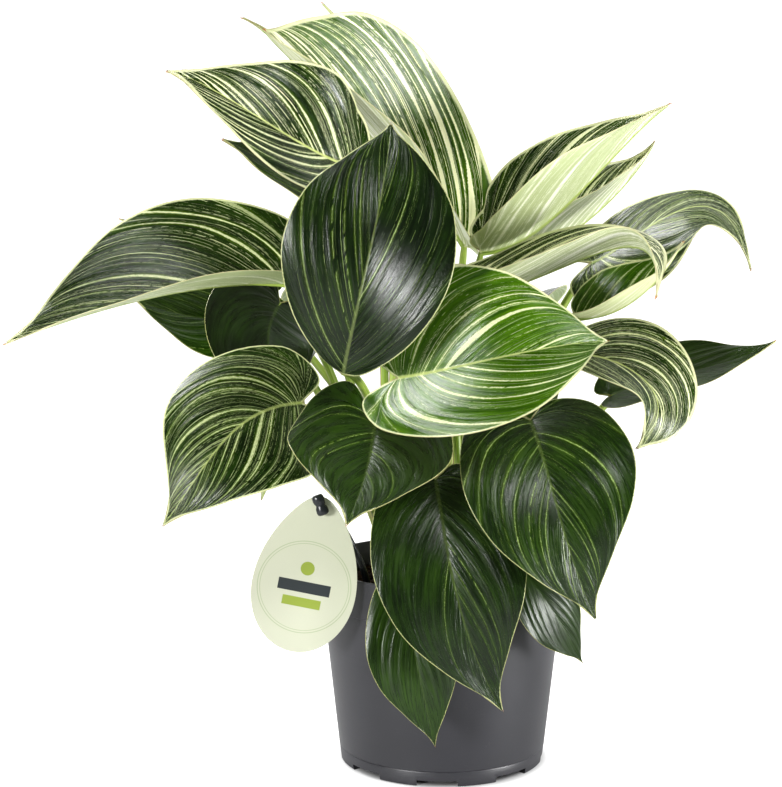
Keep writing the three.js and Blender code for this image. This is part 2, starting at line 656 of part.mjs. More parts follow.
function addNode(name, body, colour) {
  const mesh = body.getMesh();
  const geometry = new THREE.BufferGeometry();
  geometry.setAttribute('position', new THREE.Float32BufferAttribute(mesh.vertProperties, 3));
  geometry.setIndex(Array.from(mesh.triVerts));
  const node = new THREE.Mesh(
    mergeVertices(geometry, 1e-4),
    new THREE.MeshStandardMaterial({ color: colour, roughness: 0.5 }),
  );
  node.name = name;
  group.add(node);
}

addNode('pot', potSolid(), COLOURS.pot);
const standing = CROWNS.map((crown) => stemSolid(crown, CLEARANCE, STEM_FOOT - CLEARANCE));
addNode('soil', soilSolid([...standing, stakeHole()]), COLOURS.soil);
CROWNS.forEach((crown) => addNode(crown.name, crownSolid(crown), COLOURS.stem));
LEAVES.forEach((leaf) => {
  leaf.line = new Spine(leaf.spine);
  addNode(leaf.name, leafSolid(leaf), COLOURS.leaf);
});
addNode('hang_tag', tagSolid(), COLOURS.tag);
addNode('tag_stake', stakeSolid(), COLOURS.stake);

// The part's origin is the middle of its bounding box, on the ground.
const box = new THREE.Box3().setFromObject(group);
const centre = box.getCenter(new THREE.Vector3());
group.children.forEach((node) => node.geometry.translate(-centre.x, -centre.y, -box.min.z));

export default group;
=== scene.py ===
# The looks of a potted birkin philodendron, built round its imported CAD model. Shapes are worked
# out in millimetres round the pot's axis, and add_object() puts them into the frame in metres.
import math

import bpy
import numpy as np
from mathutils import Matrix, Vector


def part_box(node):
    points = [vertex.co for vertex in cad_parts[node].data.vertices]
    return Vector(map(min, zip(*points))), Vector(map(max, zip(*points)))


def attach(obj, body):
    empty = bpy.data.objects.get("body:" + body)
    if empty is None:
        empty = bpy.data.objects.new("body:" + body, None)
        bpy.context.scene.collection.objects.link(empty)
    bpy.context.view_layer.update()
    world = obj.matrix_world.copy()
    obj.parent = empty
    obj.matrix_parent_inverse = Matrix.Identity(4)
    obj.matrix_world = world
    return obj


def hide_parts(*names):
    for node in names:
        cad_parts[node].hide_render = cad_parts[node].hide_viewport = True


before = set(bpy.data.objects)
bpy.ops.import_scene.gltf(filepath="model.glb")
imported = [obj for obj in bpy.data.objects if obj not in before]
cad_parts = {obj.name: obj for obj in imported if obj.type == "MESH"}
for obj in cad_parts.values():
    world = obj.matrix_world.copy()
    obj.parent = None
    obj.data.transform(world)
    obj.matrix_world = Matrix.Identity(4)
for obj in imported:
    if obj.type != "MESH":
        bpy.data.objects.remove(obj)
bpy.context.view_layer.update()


# Grow pot
# One injection-moulded pot of charcoal polypropylene, satin and slightly chalky. It has a rim
# band that steps out from the wall, a line round the foot, a ring to stand on, and drain notches.

MM = 0.001
POT_LOW, POT_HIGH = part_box("pot")
POT_AXIS = np.array([(POT_LOW.x + POT_HIGH.x) / 2, (POT_LOW.y + POT_HIGH.y) / 2, 0.0])
RIM_RADIUS = 75
POT_HEIGHT = 121
FOOT_RADIUS = 61.5
RIM_BAND_FOOT = 98
FOOT_BAND_TOP = 9
FLOOR_TOP = 6
FOOT_RING_HEIGHT = 4
FOOT_RING_WIDTH = 5
POT_SIDES = 192
NOTCH_COUNT = 8
NOTCH_WIDTH = 24
NOTCH_HEIGHT = 3.5
NOTCH_DEPTH = 22
FIRST_NOTCH = -94


class Value:
    """A socket in a material. Arithmetic on it adds Math nodes."""

    def __init__(self, finish, socket):
        self.finish = finish
        self.socket = socket

    def math(self, operation, *others):
        inputs = dict(enumerate((self, *others)))
        return self.finish.node("ShaderNodeMath", {"operation": operation}, inputs)

    def __add__(self, other):
        return self.math("ADD", other)

    def __radd__(self, other):
        return self.math("ADD", other)

    def __sub__(self, other):
        return self.math("SUBTRACT", other)

    def __rsub__(self, other):
        return self.math("MULTIPLY_ADD", -1.0, other)

    def __mul__(self, other):
        return self.math("MULTIPLY", other)

    def __rmul__(self, other):
        return self.math("MULTIPLY", other)

    def __abs__(self):
        return self.math("ABSOLUTE")

    def at_least(self, other):
        return self.math("MAXIMUM", other)

    def rise(self, start, end):
        """0 below start, 1 above end, and smooth between them."""
        inputs = {"Value": self, "From Min": start, "From Max": end}
        return self.finish.node("ShaderNodeMapRange", {"interpolation_type": "SMOOTHSTEP"}, inputs)

    def fall(self, start, end):
        return 1 - self.rise(start, end)


class Finish:
    """A procedural material on one Principled shader."""

    def __init__(self, name, **constants):
        self.material = bpy.data.materials.new(name)
        self.material.use_nodes = True
        self.tree = self.material.node_tree
        self.shader = self.tree.nodes["Principled BSDF"]
        for socket, value in constants.items():
            self.set(socket.replace("_", " ").title().replace("Ior", "IOR"), value)

    def feed(self, socket, value):
        if isinstance(value, Value):
            self.tree.links.new(value.socket, socket)
        else:
            socket.default_value = value

    def set(self, socket, value):
        self.feed(self.shader.inputs[socket], value)

    def node(self, kind, settings, inputs, output=0):
        made = self.tree.nodes.new(kind)
        for name, value in settings.items():
            setattr(made, name, value)
        for name, value in inputs.items():
            self.feed(made.inputs[name], value)
        return Value(self, made.outputs[output])

    def place(self):
        """Object coordinates, in millimetres."""
        inside = self.node("ShaderNodeTexCoord", {}, {}, "Object")
        inputs = {0: inside, "Scale": 1 / MM}
        return self.node("ShaderNodeVectorMath", {"operation": "SCALE"}, inputs)

    def attributes(self, *names):
        """Numbers that the mesh gives to every point, by name."""
        return [
            self.node("ShaderNodeAttribute", {"attribute_name": name}, {}, "Fac") for name in names
        ]

    def part(self, vector, axis):
        """One coordinate of a vector."""
        return self.node("ShaderNodeSeparateXYZ", {}, {0: vector}, axis)

    def layout(self, name):
        """Both coordinates of a place in a named flat layout of the mesh."""
        where = self.node("ShaderNodeUVMap", {"uv_map": name}, {})
        return self.part(where, "X"), self.part(where, "Y")

    def vector(self, x, y, z):
        return self.node("ShaderNodeCombineXYZ", {}, {"X": x, "Y": y, "Z": z})

    def noise(self, vector, scale=1.0, detail=2.0, roughness=0.5):
        inputs = {"Vector": vector, "Scale": scale, "Detail": detail, "Roughness": roughness}
        return self.node("ShaderNodeTexNoise", {}, inputs)

    def mix(self, share, first, second):
        settings = {"data_type": "RGBA"}
        return self.node("ShaderNodeMix", settings, {0: share, 6: first, 7: second}, 2)

    def bump(self, height, distance):
        inputs = {"Height": height, "Distance": distance * MM, "Strength": 1.0}
        self.set("Normal", self.node("ShaderNodeBump", {}, inputs))


def paint(red, green, blue):
    """A colour as it is seen, 0 to 255, in the linear values that the shaders take."""
    def linear(level):
        share = level / 255
        return share / 12.92 if share <= 0.04045 else ((share + 0.055) / 1.055) ** 2.4
    return (linear(red), linear(green), linear(blue), 1.0)


def add_object(name, mesh, node, materials=()):
    """Puts a finished mesh into the scene, in place of a CAD node where one is named."""
    piece = bpy.data.objects.new(name, mesh)
    bpy.context.scene.collection.objects.link(piece)
    for material in materials:
        mesh.materials.append(material)
    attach(piece, "root")
    if node:
        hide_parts(node)
    return piece


def build_mesh(name, points, faces, uvs=None, looks=None):
    """A smooth mesh from points in millimetres and faces of four corners. Points that fall
    together become one, and a face loses the corners that it then has twice."""
    kept, where, inverse = np.unique(
        np.round(points, 5), axis=0, return_index=True, return_inverse=True
    )
    corners = inverse.reshape(-1)[faces]
    keep = corners != np.roll(corners, 1, axis=1)
    counts = keep.sum(axis=1)
    keep[counts < 3] = False
    whole = counts >= 3
    starts = np.concatenate([[0], np.cumsum(counts[whole])[:-1]])
    mesh = bpy.data.meshes.new(name)
    mesh.vertices.add(len(kept))
    mesh.vertices.foreach_set("co", (kept * MM + POT_AXIS).astype(np.float32).ravel())
    mesh.loops.add(int(counts[whole].sum()))
    mesh.loops.foreach_set("vertex_index", corners[keep].astype(np.int32))
    mesh.polygons.add(int(whole.sum()))
    mesh.polygons.foreach_set("loop_start", starts.astype(np.int32))
    if looks is not None:
        mesh.polygons.foreach_set("material_index", looks[whole].astype(np.int32))
    mesh.update(calc_edges=True)
    mesh.shade_smooth()
    if uvs is not None:
        layer = mesh.uv_layers.new(name="veins")
        layer.uv.foreach_set("vector", uvs[keep].astype(np.float32).ravel())
    return mesh, where


def lathe_faces(rings, sides):
    """Faces of four corners between rings of points, each ring closed on itself."""
    ring, side = np.meshgrid(np.arange(rings - 1), np.arange(sides), indexing="ij")
    ring, side = ring.ravel(), side.ravel()
    after = (side + 1) % sides
    return np.stack([
        ring * sides + side,
        ring * sides + after,
        (ring + 1) * sides + after,
        (ring + 1) * sides + side,
    ], axis=1)


def lathe(profile, sides):
    """Points and faces of a closed body turned from (radius, height) points, foot first."""
    radius, height = np.array(profile, float).T
    angle = np.arange(sides) / sides * 2 * np.pi
    points = np.stack([
        np.outer(radius, np.cos(angle)),
        np.outer(radius, np.sin(angle)),
        np.repeat(height[:, None], sides, axis=1),
    ], axis=2)
    return points.reshape(-1, 3), lathe_faces(len(profile), sides)


WALL_TOP = RIM_RADIUS - 2.7
POT_PROFILE = [
    (0, FOOT_RING_HEIGHT),
    (FOOT_RADIUS - FOOT_RING_WIDTH, FOOT_RING_HEIGHT),
    (FOOT_RADIUS - FOOT_RING_WIDTH, 0.3),
    (FOOT_RADIUS - FOOT_RING_WIDTH + 0.3, 0),
    (FOOT_RADIUS - 0.8, 0),
    (FOOT_RADIUS, 0.6),
    (FOOT_RADIUS + 0.85, FOOT_BAND_TOP - 0.6),
    (FOOT_RADIUS + 0.6, FOOT_BAND_TOP),
    (FOOT_RADIUS + 1.1, FOOT_BAND_TOP + 0.5),
    (WALL_TOP - 0.2, RIM_BAND_FOOT - 2),
    (WALL_TOP - 0.1, RIM_BAND_FOOT - 0.2),
    (WALL_TOP + 0.9, RIM_BAND_FOOT),
    (RIM_RADIUS - 1.35, RIM_BAND_FOOT + 0.5),
    (RIM_RADIUS - 0.05, POT_HEIGHT - 1.4),
    (RIM_RADIUS, POT_HEIGHT - 0.7),
    (RIM_RADIUS - 0.4, POT_HEIGHT - 0.1),
    (RIM_RADIUS - 1, POT_HEIGHT),
    (RIM_RADIUS - 1.7, POT_HEIGHT - 0.2),
    (RIM_RADIUS - 2.1, POT_HEIGHT - 0.8),
    (WALL_TOP - 2, RIM_BAND_FOOT),
    (FOOT_RADIUS - 2, FLOOR_TOP + 1),
    (FOOT_RADIUS - 3, FLOOR_TOP),
    (0, FLOOR_TOP),
]


class Tree:
    """A Geometry Nodes tree with named inputs, applied to a mesh and then taken off it."""

    def __init__(self, name, **inputs):
        self.tree = bpy.data.node_groups.new(name, "GeometryNodeTree")
        face = self.tree.interface
        self.given = self.tree.nodes.new("NodeGroupInput")
        self.end = self.tree.nodes.new("NodeGroupOutput")
        face.new_socket("Geometry", in_out="INPUT", socket_type="NodeSocketGeometry")
        face.new_socket("Geometry", in_out="OUTPUT", socket_type="NodeSocketGeometry")
        self.sockets = {}
        for label, value in inputs.items():
            kind = "NodeSocketInt" if isinstance(value, int) else "NodeSocketFloat"
            made = face.new_socket(label, in_out="INPUT", socket_type=kind)
            self.sockets[made.identifier] = value
        self.values = [self.given.outputs[label] for label in inputs]

    def node(self, kind, settings=(), inputs=()):
        """A new node. An input is a constant, a socket, or a node, which means its first output."""
        made = self.tree.nodes.new(kind)
        for name, value in dict(settings).items():
            setattr(made, name, value)
        for name, value in dict(inputs).items():
            if isinstance(value, bpy.types.Node):
                value = value.outputs[0]
            if isinstance(value, bpy.types.NodeSocket):
                self.tree.links.new(value, made.inputs[name])
            else:
                made.inputs[name].default_value = value
        return made

    def apply(self, mesh, result, material):
        """The mesh that the tree makes of this one, its result given one material."""
        inputs = {"Geometry": result, "Material": material}
        dressed = self.node("GeometryNodeSetMaterial", {}, inputs)
        self.tree.links.new(dressed.outputs[0], self.end.inputs[0])
        carrier = bpy.data.objects.new(mesh.name, mesh)
        bpy.context.scene.collection.objects.link(carrier)
        modifier = carrier.modifiers.new("shape", "NODES")
        modifier.node_group = self.tree
        for identifier, value in self.sockets.items():
            modifier[identifier] = value
        ready = carrier.evaluated_get(bpy.context.evaluated_depsgraph_get())
        made = bpy.data.meshes.new_from_object(ready)
        bpy.data.objects.remove(carrier)
        bpy.data.node_groups.remove(self.tree)
        return made


# Moulded polypropylene: satin, with faint rings from the mould and a little dust.
plastic = Finish("charcoal_plastic", specular_ior_level=0.62)
spot = plastic.place()
cloudy = plastic.noise(spot, 0.03, 3)
grain = plastic.noise(spot, 2.2, 2)
level = plastic.part(spot, "Z")
rings = plastic.noise(plastic.vector(0.0, 0.0, level), 0.35, 2)
dust = plastic.noise(spot, 0.35, 4, 0.7).rise(0.6, 0.8)
tone = plastic.mix(cloudy, paint(46, 46, 50), paint(56, 56, 61))
plastic.set("Base Color", plastic.mix(dust * 0.16, tone, paint(112, 110, 108)))
plastic.set("Roughness", 0.34 + cloudy * 0.12 + dust * 0.1)
plastic.bump(rings * 0.6 + grain * 0.12, 0.12)

points, faces = lathe(POT_PROFILE, POT_SIDES)
blank, _ = build_mesh("pot_blank", points, faces)
moulding = Tree(
    "drain_notches",
    Notches=NOTCH_COUNT,
    Radius=FOOT_RADIUS * MM,
    Width=NOTCH_WIDTH * MM,
    Height=NOTCH_HEIGHT * 2 * MM,
)
notch_count, notch_radius, notch_width, notch_height = moulding.values
circle = moulding.node(
    "GeometryNodeMeshCircle", {}, {"Vertices": notch_count, "Radius": notch_radius}
)
box_size = moulding.node("ShaderNodeCombineXYZ", {}, {
    0: NOTCH_DEPTH * MM,
    1: notch_width,
    2: notch_height,
})
cutter = moulding.node("GeometryNodeMeshCube", {}, {"Size": box_size})
where = moulding.node("GeometryNodeInputPosition")
turn = moulding.node("FunctionNodeAlignRotationToVector", {"axis": "X"}, {"Vector": where})
ring_of_cutters = moulding.node("GeometryNodeInstanceOnPoints", {}, {
    "Points": circle,
    "Instance": cutter,
    "Rotation": turn,
})
turned = moulding.node("GeometryNodeTransform", {}, {
    "Geometry": ring_of_cutters,
    "Rotation": (0, 0, math.radians(FIRST_NOTCH)),
    "Translation": tuple(POT_AXIS),
})
cutters = moulding.node("GeometryNodeRealizeInstances", {}, {0: turned})
cut = moulding.node("GeometryNodeMeshBoolean", {"operation": "DIFFERENCE"}, {
    "Mesh 1": moulding.given,
    "Mesh 2": cutters,
})
pot_mesh = moulding.apply(blank, cut, plastic.material)
pot_mesh.set_sharp_from_angle(angle=math.radians(38))
add_object("grow_pot", pot_mesh, "pot")


# Soil
# Dark peat mix with bark chips and a few white perlite grains, pressed level by hand. The plug
# is one lumpy body, and the loose crumbs on it are scattered.

SOIL_RADIUS = 69.8
SOIL_TOP = 106
SOIL_DOME = 2
SOIL_SHOULDER = 96
SOIL_SIDES = 96
CRUMB_SEED = 11

earth = Finish("potting_mix", roughness=0.95, specular_ior_level=0.25)
spot = earth.place()
clods = earth.noise(spot, 0.5, 5, 0.65)
fibre = earth.noise(spot, 1.6, 3, 0.7)
tone = earth.mix(clods.rise(0.35, 0.65), paint(24, 16, 12), paint(62, 42, 30))
earth.set("Base Color", earth.mix(fibre.rise(0.62, 0.75), tone, paint(120, 88, 60)))
earth.bump(clods + fibre * 0.5, 1.2)

perlite = Finish("perlite", roughness=0.9)
spot = perlite.place()
speck = perlite.noise(spot, 1.5, 3)
perlite.set("Base Color", perlite.mix(speck, paint(196, 190, 178), paint(232, 228, 220)))

radii = np.concatenate([[0], np.linspace(3, SOIL_RADIUS - 0.3, 26), [SOIL_RADIUS]])
profile = [(0, FLOOR_TOP + 0.1), (FOOT_RADIUS - 3.4, FLOOR_TOP + 0.1), (SOIL_RADIUS, SOIL_SHOULDER)]
profile += [(r, SOIL_TOP + SOIL_DOME * min(1, (SOIL_RADIUS - r) / 20)) for r in radii[::-1]]
points, faces = lathe(profile, SOIL_SIDES)
on_top = points[:, 2] > SOIL_SHOULDER
swell = (
    np.sin(points[:, 0] * 0.31 + 1) * np.sin(points[:, 1] * 0.27)
    + 0.6 * np.sin(points[:, 0] * 0.83 + points[:, 1] * 0.7 + 2)
)
off_axis = np.clip(np.hypot(points[:, 0], points[:, 1]) / 6, 0, 1)
points[:, 2] += on_top * 0.5 * (swell - 1.4) * off_axis
plug_mesh, _ = build_mesh("soil_plug", points, faces)
plug_mesh.materials.append(earth.material)
add_object("soil_plug", plug_mesh.copy(), "soil")


def scatter(name, finish, smallest, largest, per_square_metre, seed):
    """Crumbs of one stuff, scattered on the top of the soil."""
    sizes = dict(Smallest=smallest * MM, Largest=largest * MM)
    tree = Tree(name, **sizes, Density=per_square_metre, Seed=seed)
    small, large, density, seeding = tree.values
    normal = tree.node("GeometryNodeInputNormal")
    upright = tree.node("ShaderNodeSeparateXYZ", {}, {0: normal})
    facing_up = tree.node("FunctionNodeCompare", {}, {0: upright.outputs[2], 1: 0.5})
    spread = tree.node("GeometryNodeDistributePointsOnFaces", {}, {
        "Mesh": tree.given,
        "Selection": facing_up,
        "Density": density,
        "Seed": seeding,
    })
    lump = tree.node("GeometryNodeMeshIcoSphere", {}, {"Radius": 1.0, "Subdivisions": 1})
    size = tree.node("FunctionNodeRandomValue", {"data_type": "FLOAT_VECTOR"}, {"Seed": seeding})
    spin = tree.node("FunctionNodeRandomValue", {"data_type": "FLOAT_VECTOR"}, {
        1: (math.tau, math.tau, math.tau),
        "Seed": seeding,
    })
    width = tree.node("ShaderNodeMath", {"operation": "SUBTRACT"}, {0: large, 1: small})
    ranged = tree.node("ShaderNodeVectorMath", {"operation": "MULTIPLY_ADD"}, {
        0: size,
        1: width,
        2: small,
    })
    crumbs = tree.node("GeometryNodeInstanceOnPoints", {}, {
        "Points": spread,
        "Instance": lump,
        "Rotation": spin,
        "Scale": ranged,
    })
    real = tree.node("GeometryNodeRealizeInstances", {}, {0: crumbs})
    crumb_mesh = tree.apply(plug_mesh.copy(), real, finish.material)
    add_object(name, crumb_mesh, None)


scatter("bark_crumbs", earth, 0.5, 2.6, per_square_metre=120000.0, seed=CRUMB_SEED)
scatter("perlite_grains", perlite, 0.5, 1.4, per_square_metre=5000.0, seed=CRUMB_SEED + 1)


# Stems
# Four short green stems that stand in the soil and carry the leaf stalks in turn. Each has
# rings where old leaves sat, and the dried reddish sheath of a fallen leaf grown to it.

STEM_RADIUS = 5
STEM_FOOT = 62
SHEATH_LENGTH = 50
SHEATH_LEAN = 10
STEM_SIDES = 20
SHEATH_SIDES = 16
UP = np.array([0, 0, 1])
CROWNS = [
    dict(name="stem_left", at=(-24, -4), top=156, sheath=-15),
    dict(name="stem_front", at=(18, -14), top=156, sheath=150),
    dict(name="stem_back", at=(-4, 26), top=160, sheath=-60),
    dict(name="stem_right", at=(30, 16), top=156, sheath=160),
]


def unit(vectors):
    """The same directions, each of length 1."""
    return vectors / np.linalg.norm(vectors, axis=-1, keepdims=True)


def tube(path, radii, sides, flat=1.0):
    """Points and faces of a closed rod along a path, its rings carried along without twist.
    flat narrows it one way. The end caps are points."""
    path = np.array(path, float)
    forward = unit(np.gradient(path, axis=0))
    guide = np.array([0, 1, 0]) if abs(forward[0, 1]) < 0.8 else np.array([1, 0, 0])
    angle = np.arange(sides) / sides * 2 * np.pi
    rings = [np.repeat(path[:1], sides, axis=0)]
    for point, ahead, radius in zip(path, forward, radii):
        guide = unit(guide - ahead * (guide @ ahead))
        other = np.cross(ahead, guide)
        rings.append(
            point
            + radius * flat * np.cos(angle)[:, None] * guide
            + radius * np.sin(angle)[:, None] * other
        )
    rings.append(np.repeat(path[-1:], sides, axis=0))
    return np.concatenate(rings), lathe_faces(len(rings), sides)


def tube_uv(rings, sides):
    """Round and along, 0 to 1, for each corner of a tube's faces."""
    ring, side = np.meshgrid(np.arange(rings - 1), np.arange(sides), indexing="ij")
    ring, side = ring.ravel(), side.ravel()
    corner_ring = np.stack([ring, ring, ring + 1, ring + 1], axis=1) / (rings - 1)
    corner_side = np.stack([side, side + 1, side + 1, side], axis=1) / sides
    return np.stack([corner_side, corner_ring], axis=2)


bark = Finish("green_stem", roughness=0.5)
spot = bark.place()
patches = bark.noise(spot, 0.25, 4)
level = bark.part(spot, "Z")
bands = bark.noise(bark.vector(0.0, 0.0, level), 0.22, 3)
tone = bark.mix(patches.rise(0.4, 0.6), paint(104, 112, 52), paint(134, 142, 76))
bark.set("Base Color", bark.mix(bands.rise(0.52, 0.62), tone, paint(96, 66, 40)))
bark.bump(bands * 2 + patches, 0.8)

husk = Finish("dried_sheath", roughness=0.6)
spot = husk.place()
fibres = husk.noise(husk.node("ShaderNodeVectorMath", {"operation": "MULTIPLY"}, {
    0: spot,
    1: (2.2, 2.2, 0.12),
}), 1.0, 3)
husk.set("Base Color", husk.mix(fibres.rise(0.35, 0.7), paint(92, 44, 30), paint(158, 104, 66)))
husk.bump(fibres, 0.4)

for crown in CROWNS:
    heights = np.linspace(STEM_FOOT, crown["top"], 70)
    scar = np.clip(np.sin(heights * 0.62 + crown["sheath"]) * 6 - 5, 0, 1)
    radii = STEM_RADIUS * (0.93 + 0.06 * scar)
    radii[-3:] *= (0.94, 0.8, 0.5)
    path = [(crown["at"][0], crown["at"][1], height) for height in heights]
    stem_points, stem_faces = tube(path, radii, STEM_SIDES)
    side = math.radians(crown["sheath"])
    outward = np.array([math.cos(side), math.sin(side), 0])
    share = np.linspace(0, 1, 24)
    lean = math.radians(SHEATH_LEAN)
    reach = (STEM_RADIUS - 0.6) + SHEATH_LENGTH * share * math.sin(lean) * (0.7 + 0.5 * share)
    rise = SOIL_TOP + SOIL_DOME + 3 + SHEATH_LENGTH * share * math.cos(lean)
    foot = np.array([*crown["at"], 0])
    sheath_path = foot + reach[:, None] * outward + rise[:, None] * UP
    taper = 4.4 * (1 - share ** 1.6) + 0.25
    sheath_points, sheath_faces = tube(sheath_path, taper, SHEATH_SIDES)
    middle = np.repeat(sheath_path, SHEATH_SIDES, axis=0)
    body = slice(SHEATH_SIDES, -SHEATH_SIDES)
    off = sheath_points[body] - middle
    along = off @ outward
    across = off - along[:, None] * outward
    cup = 0.09 * (across ** 2).sum(axis=1)
    sheath_points[body] = middle + across + (along * 0.22 - cup)[:, None] * outward
    points = np.concatenate([stem_points, sheath_points])
    faces = np.concatenate([stem_faces, sheath_faces + len(stem_points)])
    looks = np.concatenate([np.zeros(len(stem_faces)), np.ones(len(sheath_faces))])
    stem_mesh, _ = build_mesh(crown["name"], points, faces, looks=looks)
    finishes = [bark.material, husk.material]
    add_object("grown_" + crown["name"], stem_mesh, crown["name"], finishes)


# Leaves
# Thick, glossy, heart-shaped blades, each on a slender round stalk. Cream streaks run along
# the side veins from the midrib to the margin, and are widest on the youngest leaves.

# Half of the flat outline: (across in half widths, along in lengths). Values of along below 0 are
# in lobe depths. It runs from the notch where the stalk joins, round the lobe, to the tip.
HALF_OUTLINE = [
    (0, 0), (0.32, -1), (0.76, -0.5), (1, 0.22), (0.86, 0.46), (0.46, 0.69), (0.12, 0.87), (0, 1),
]
# How far a leaf's belly value moves each of those points towards the tip.
BELLY_SHARE = [0, 0, 0.9, 1, 0.9, 0.6, 0.3, 0]
VEIN_START = 0.36
KNEE_BEHIND = 0.22
HALF_THICKNESS = 0.34
STALK_FOOT_RADIUS = 3
STALK_TOP_RADIUS = 2.2
# Margin of one half of a large leaf, by which streaks keep their true width on small ones.
LARGE_MARGIN = 180
LARGE_HALF_WIDTH = 35
LARGE_GRID = (112, 22)
SMALL_GRID = (72, 15)
STALK_STEPS = 26
STALK_SIDES = 14
WAVE_HEIGHT = 0.8
WAVE_COUNT = 3
SWELL_HEIGHT = 1.0
# Where the stalk's rib still stands out under the blade, as shares of the blade's length.
RIB_SHARES = np.array([0.05, 0.1, 0.15, 0.2])

# Values of each leaf, in real sizes:
# spine: four points of the midrib, from the stalk to the tip;
# face: where the upper side looks, from the stalk to the tip;
# half: half width, seen on the upper side with the tip up;
# fold and curl: degrees that each half rises at the midrib, and bends further out to its margin;
# lobe: depth of the basal lobes in lengths; belly: moves the widest place towards the tip;
# crown, attach, turn, lean: which stem, the height on it, the side (degrees) and the outward lean;
# come: the way the stalk runs where it meets the blade;
# young: how fresh the green is; bold, fine: share of wide and of thin streaks; cream: how pale.
# half, fold and curl are one value for both halves, or (left, right), and fold and curl may be
# lists of values from the stalk to the tip.
LEAF_DEFAULTS = dict(turn=None, lean=0.45, come=None, curl=0, lobe=0.16, belly=0)
BACK_LEAF = dict(fold=15, curl=-10, young=0.15, bold=0.25, fine=0.5, cream=0.4)
ROLLED_LEAF = dict(fold=60, lobe=0.02, young=0.4, bold=0.4, fine=0.6, cream=0.6)
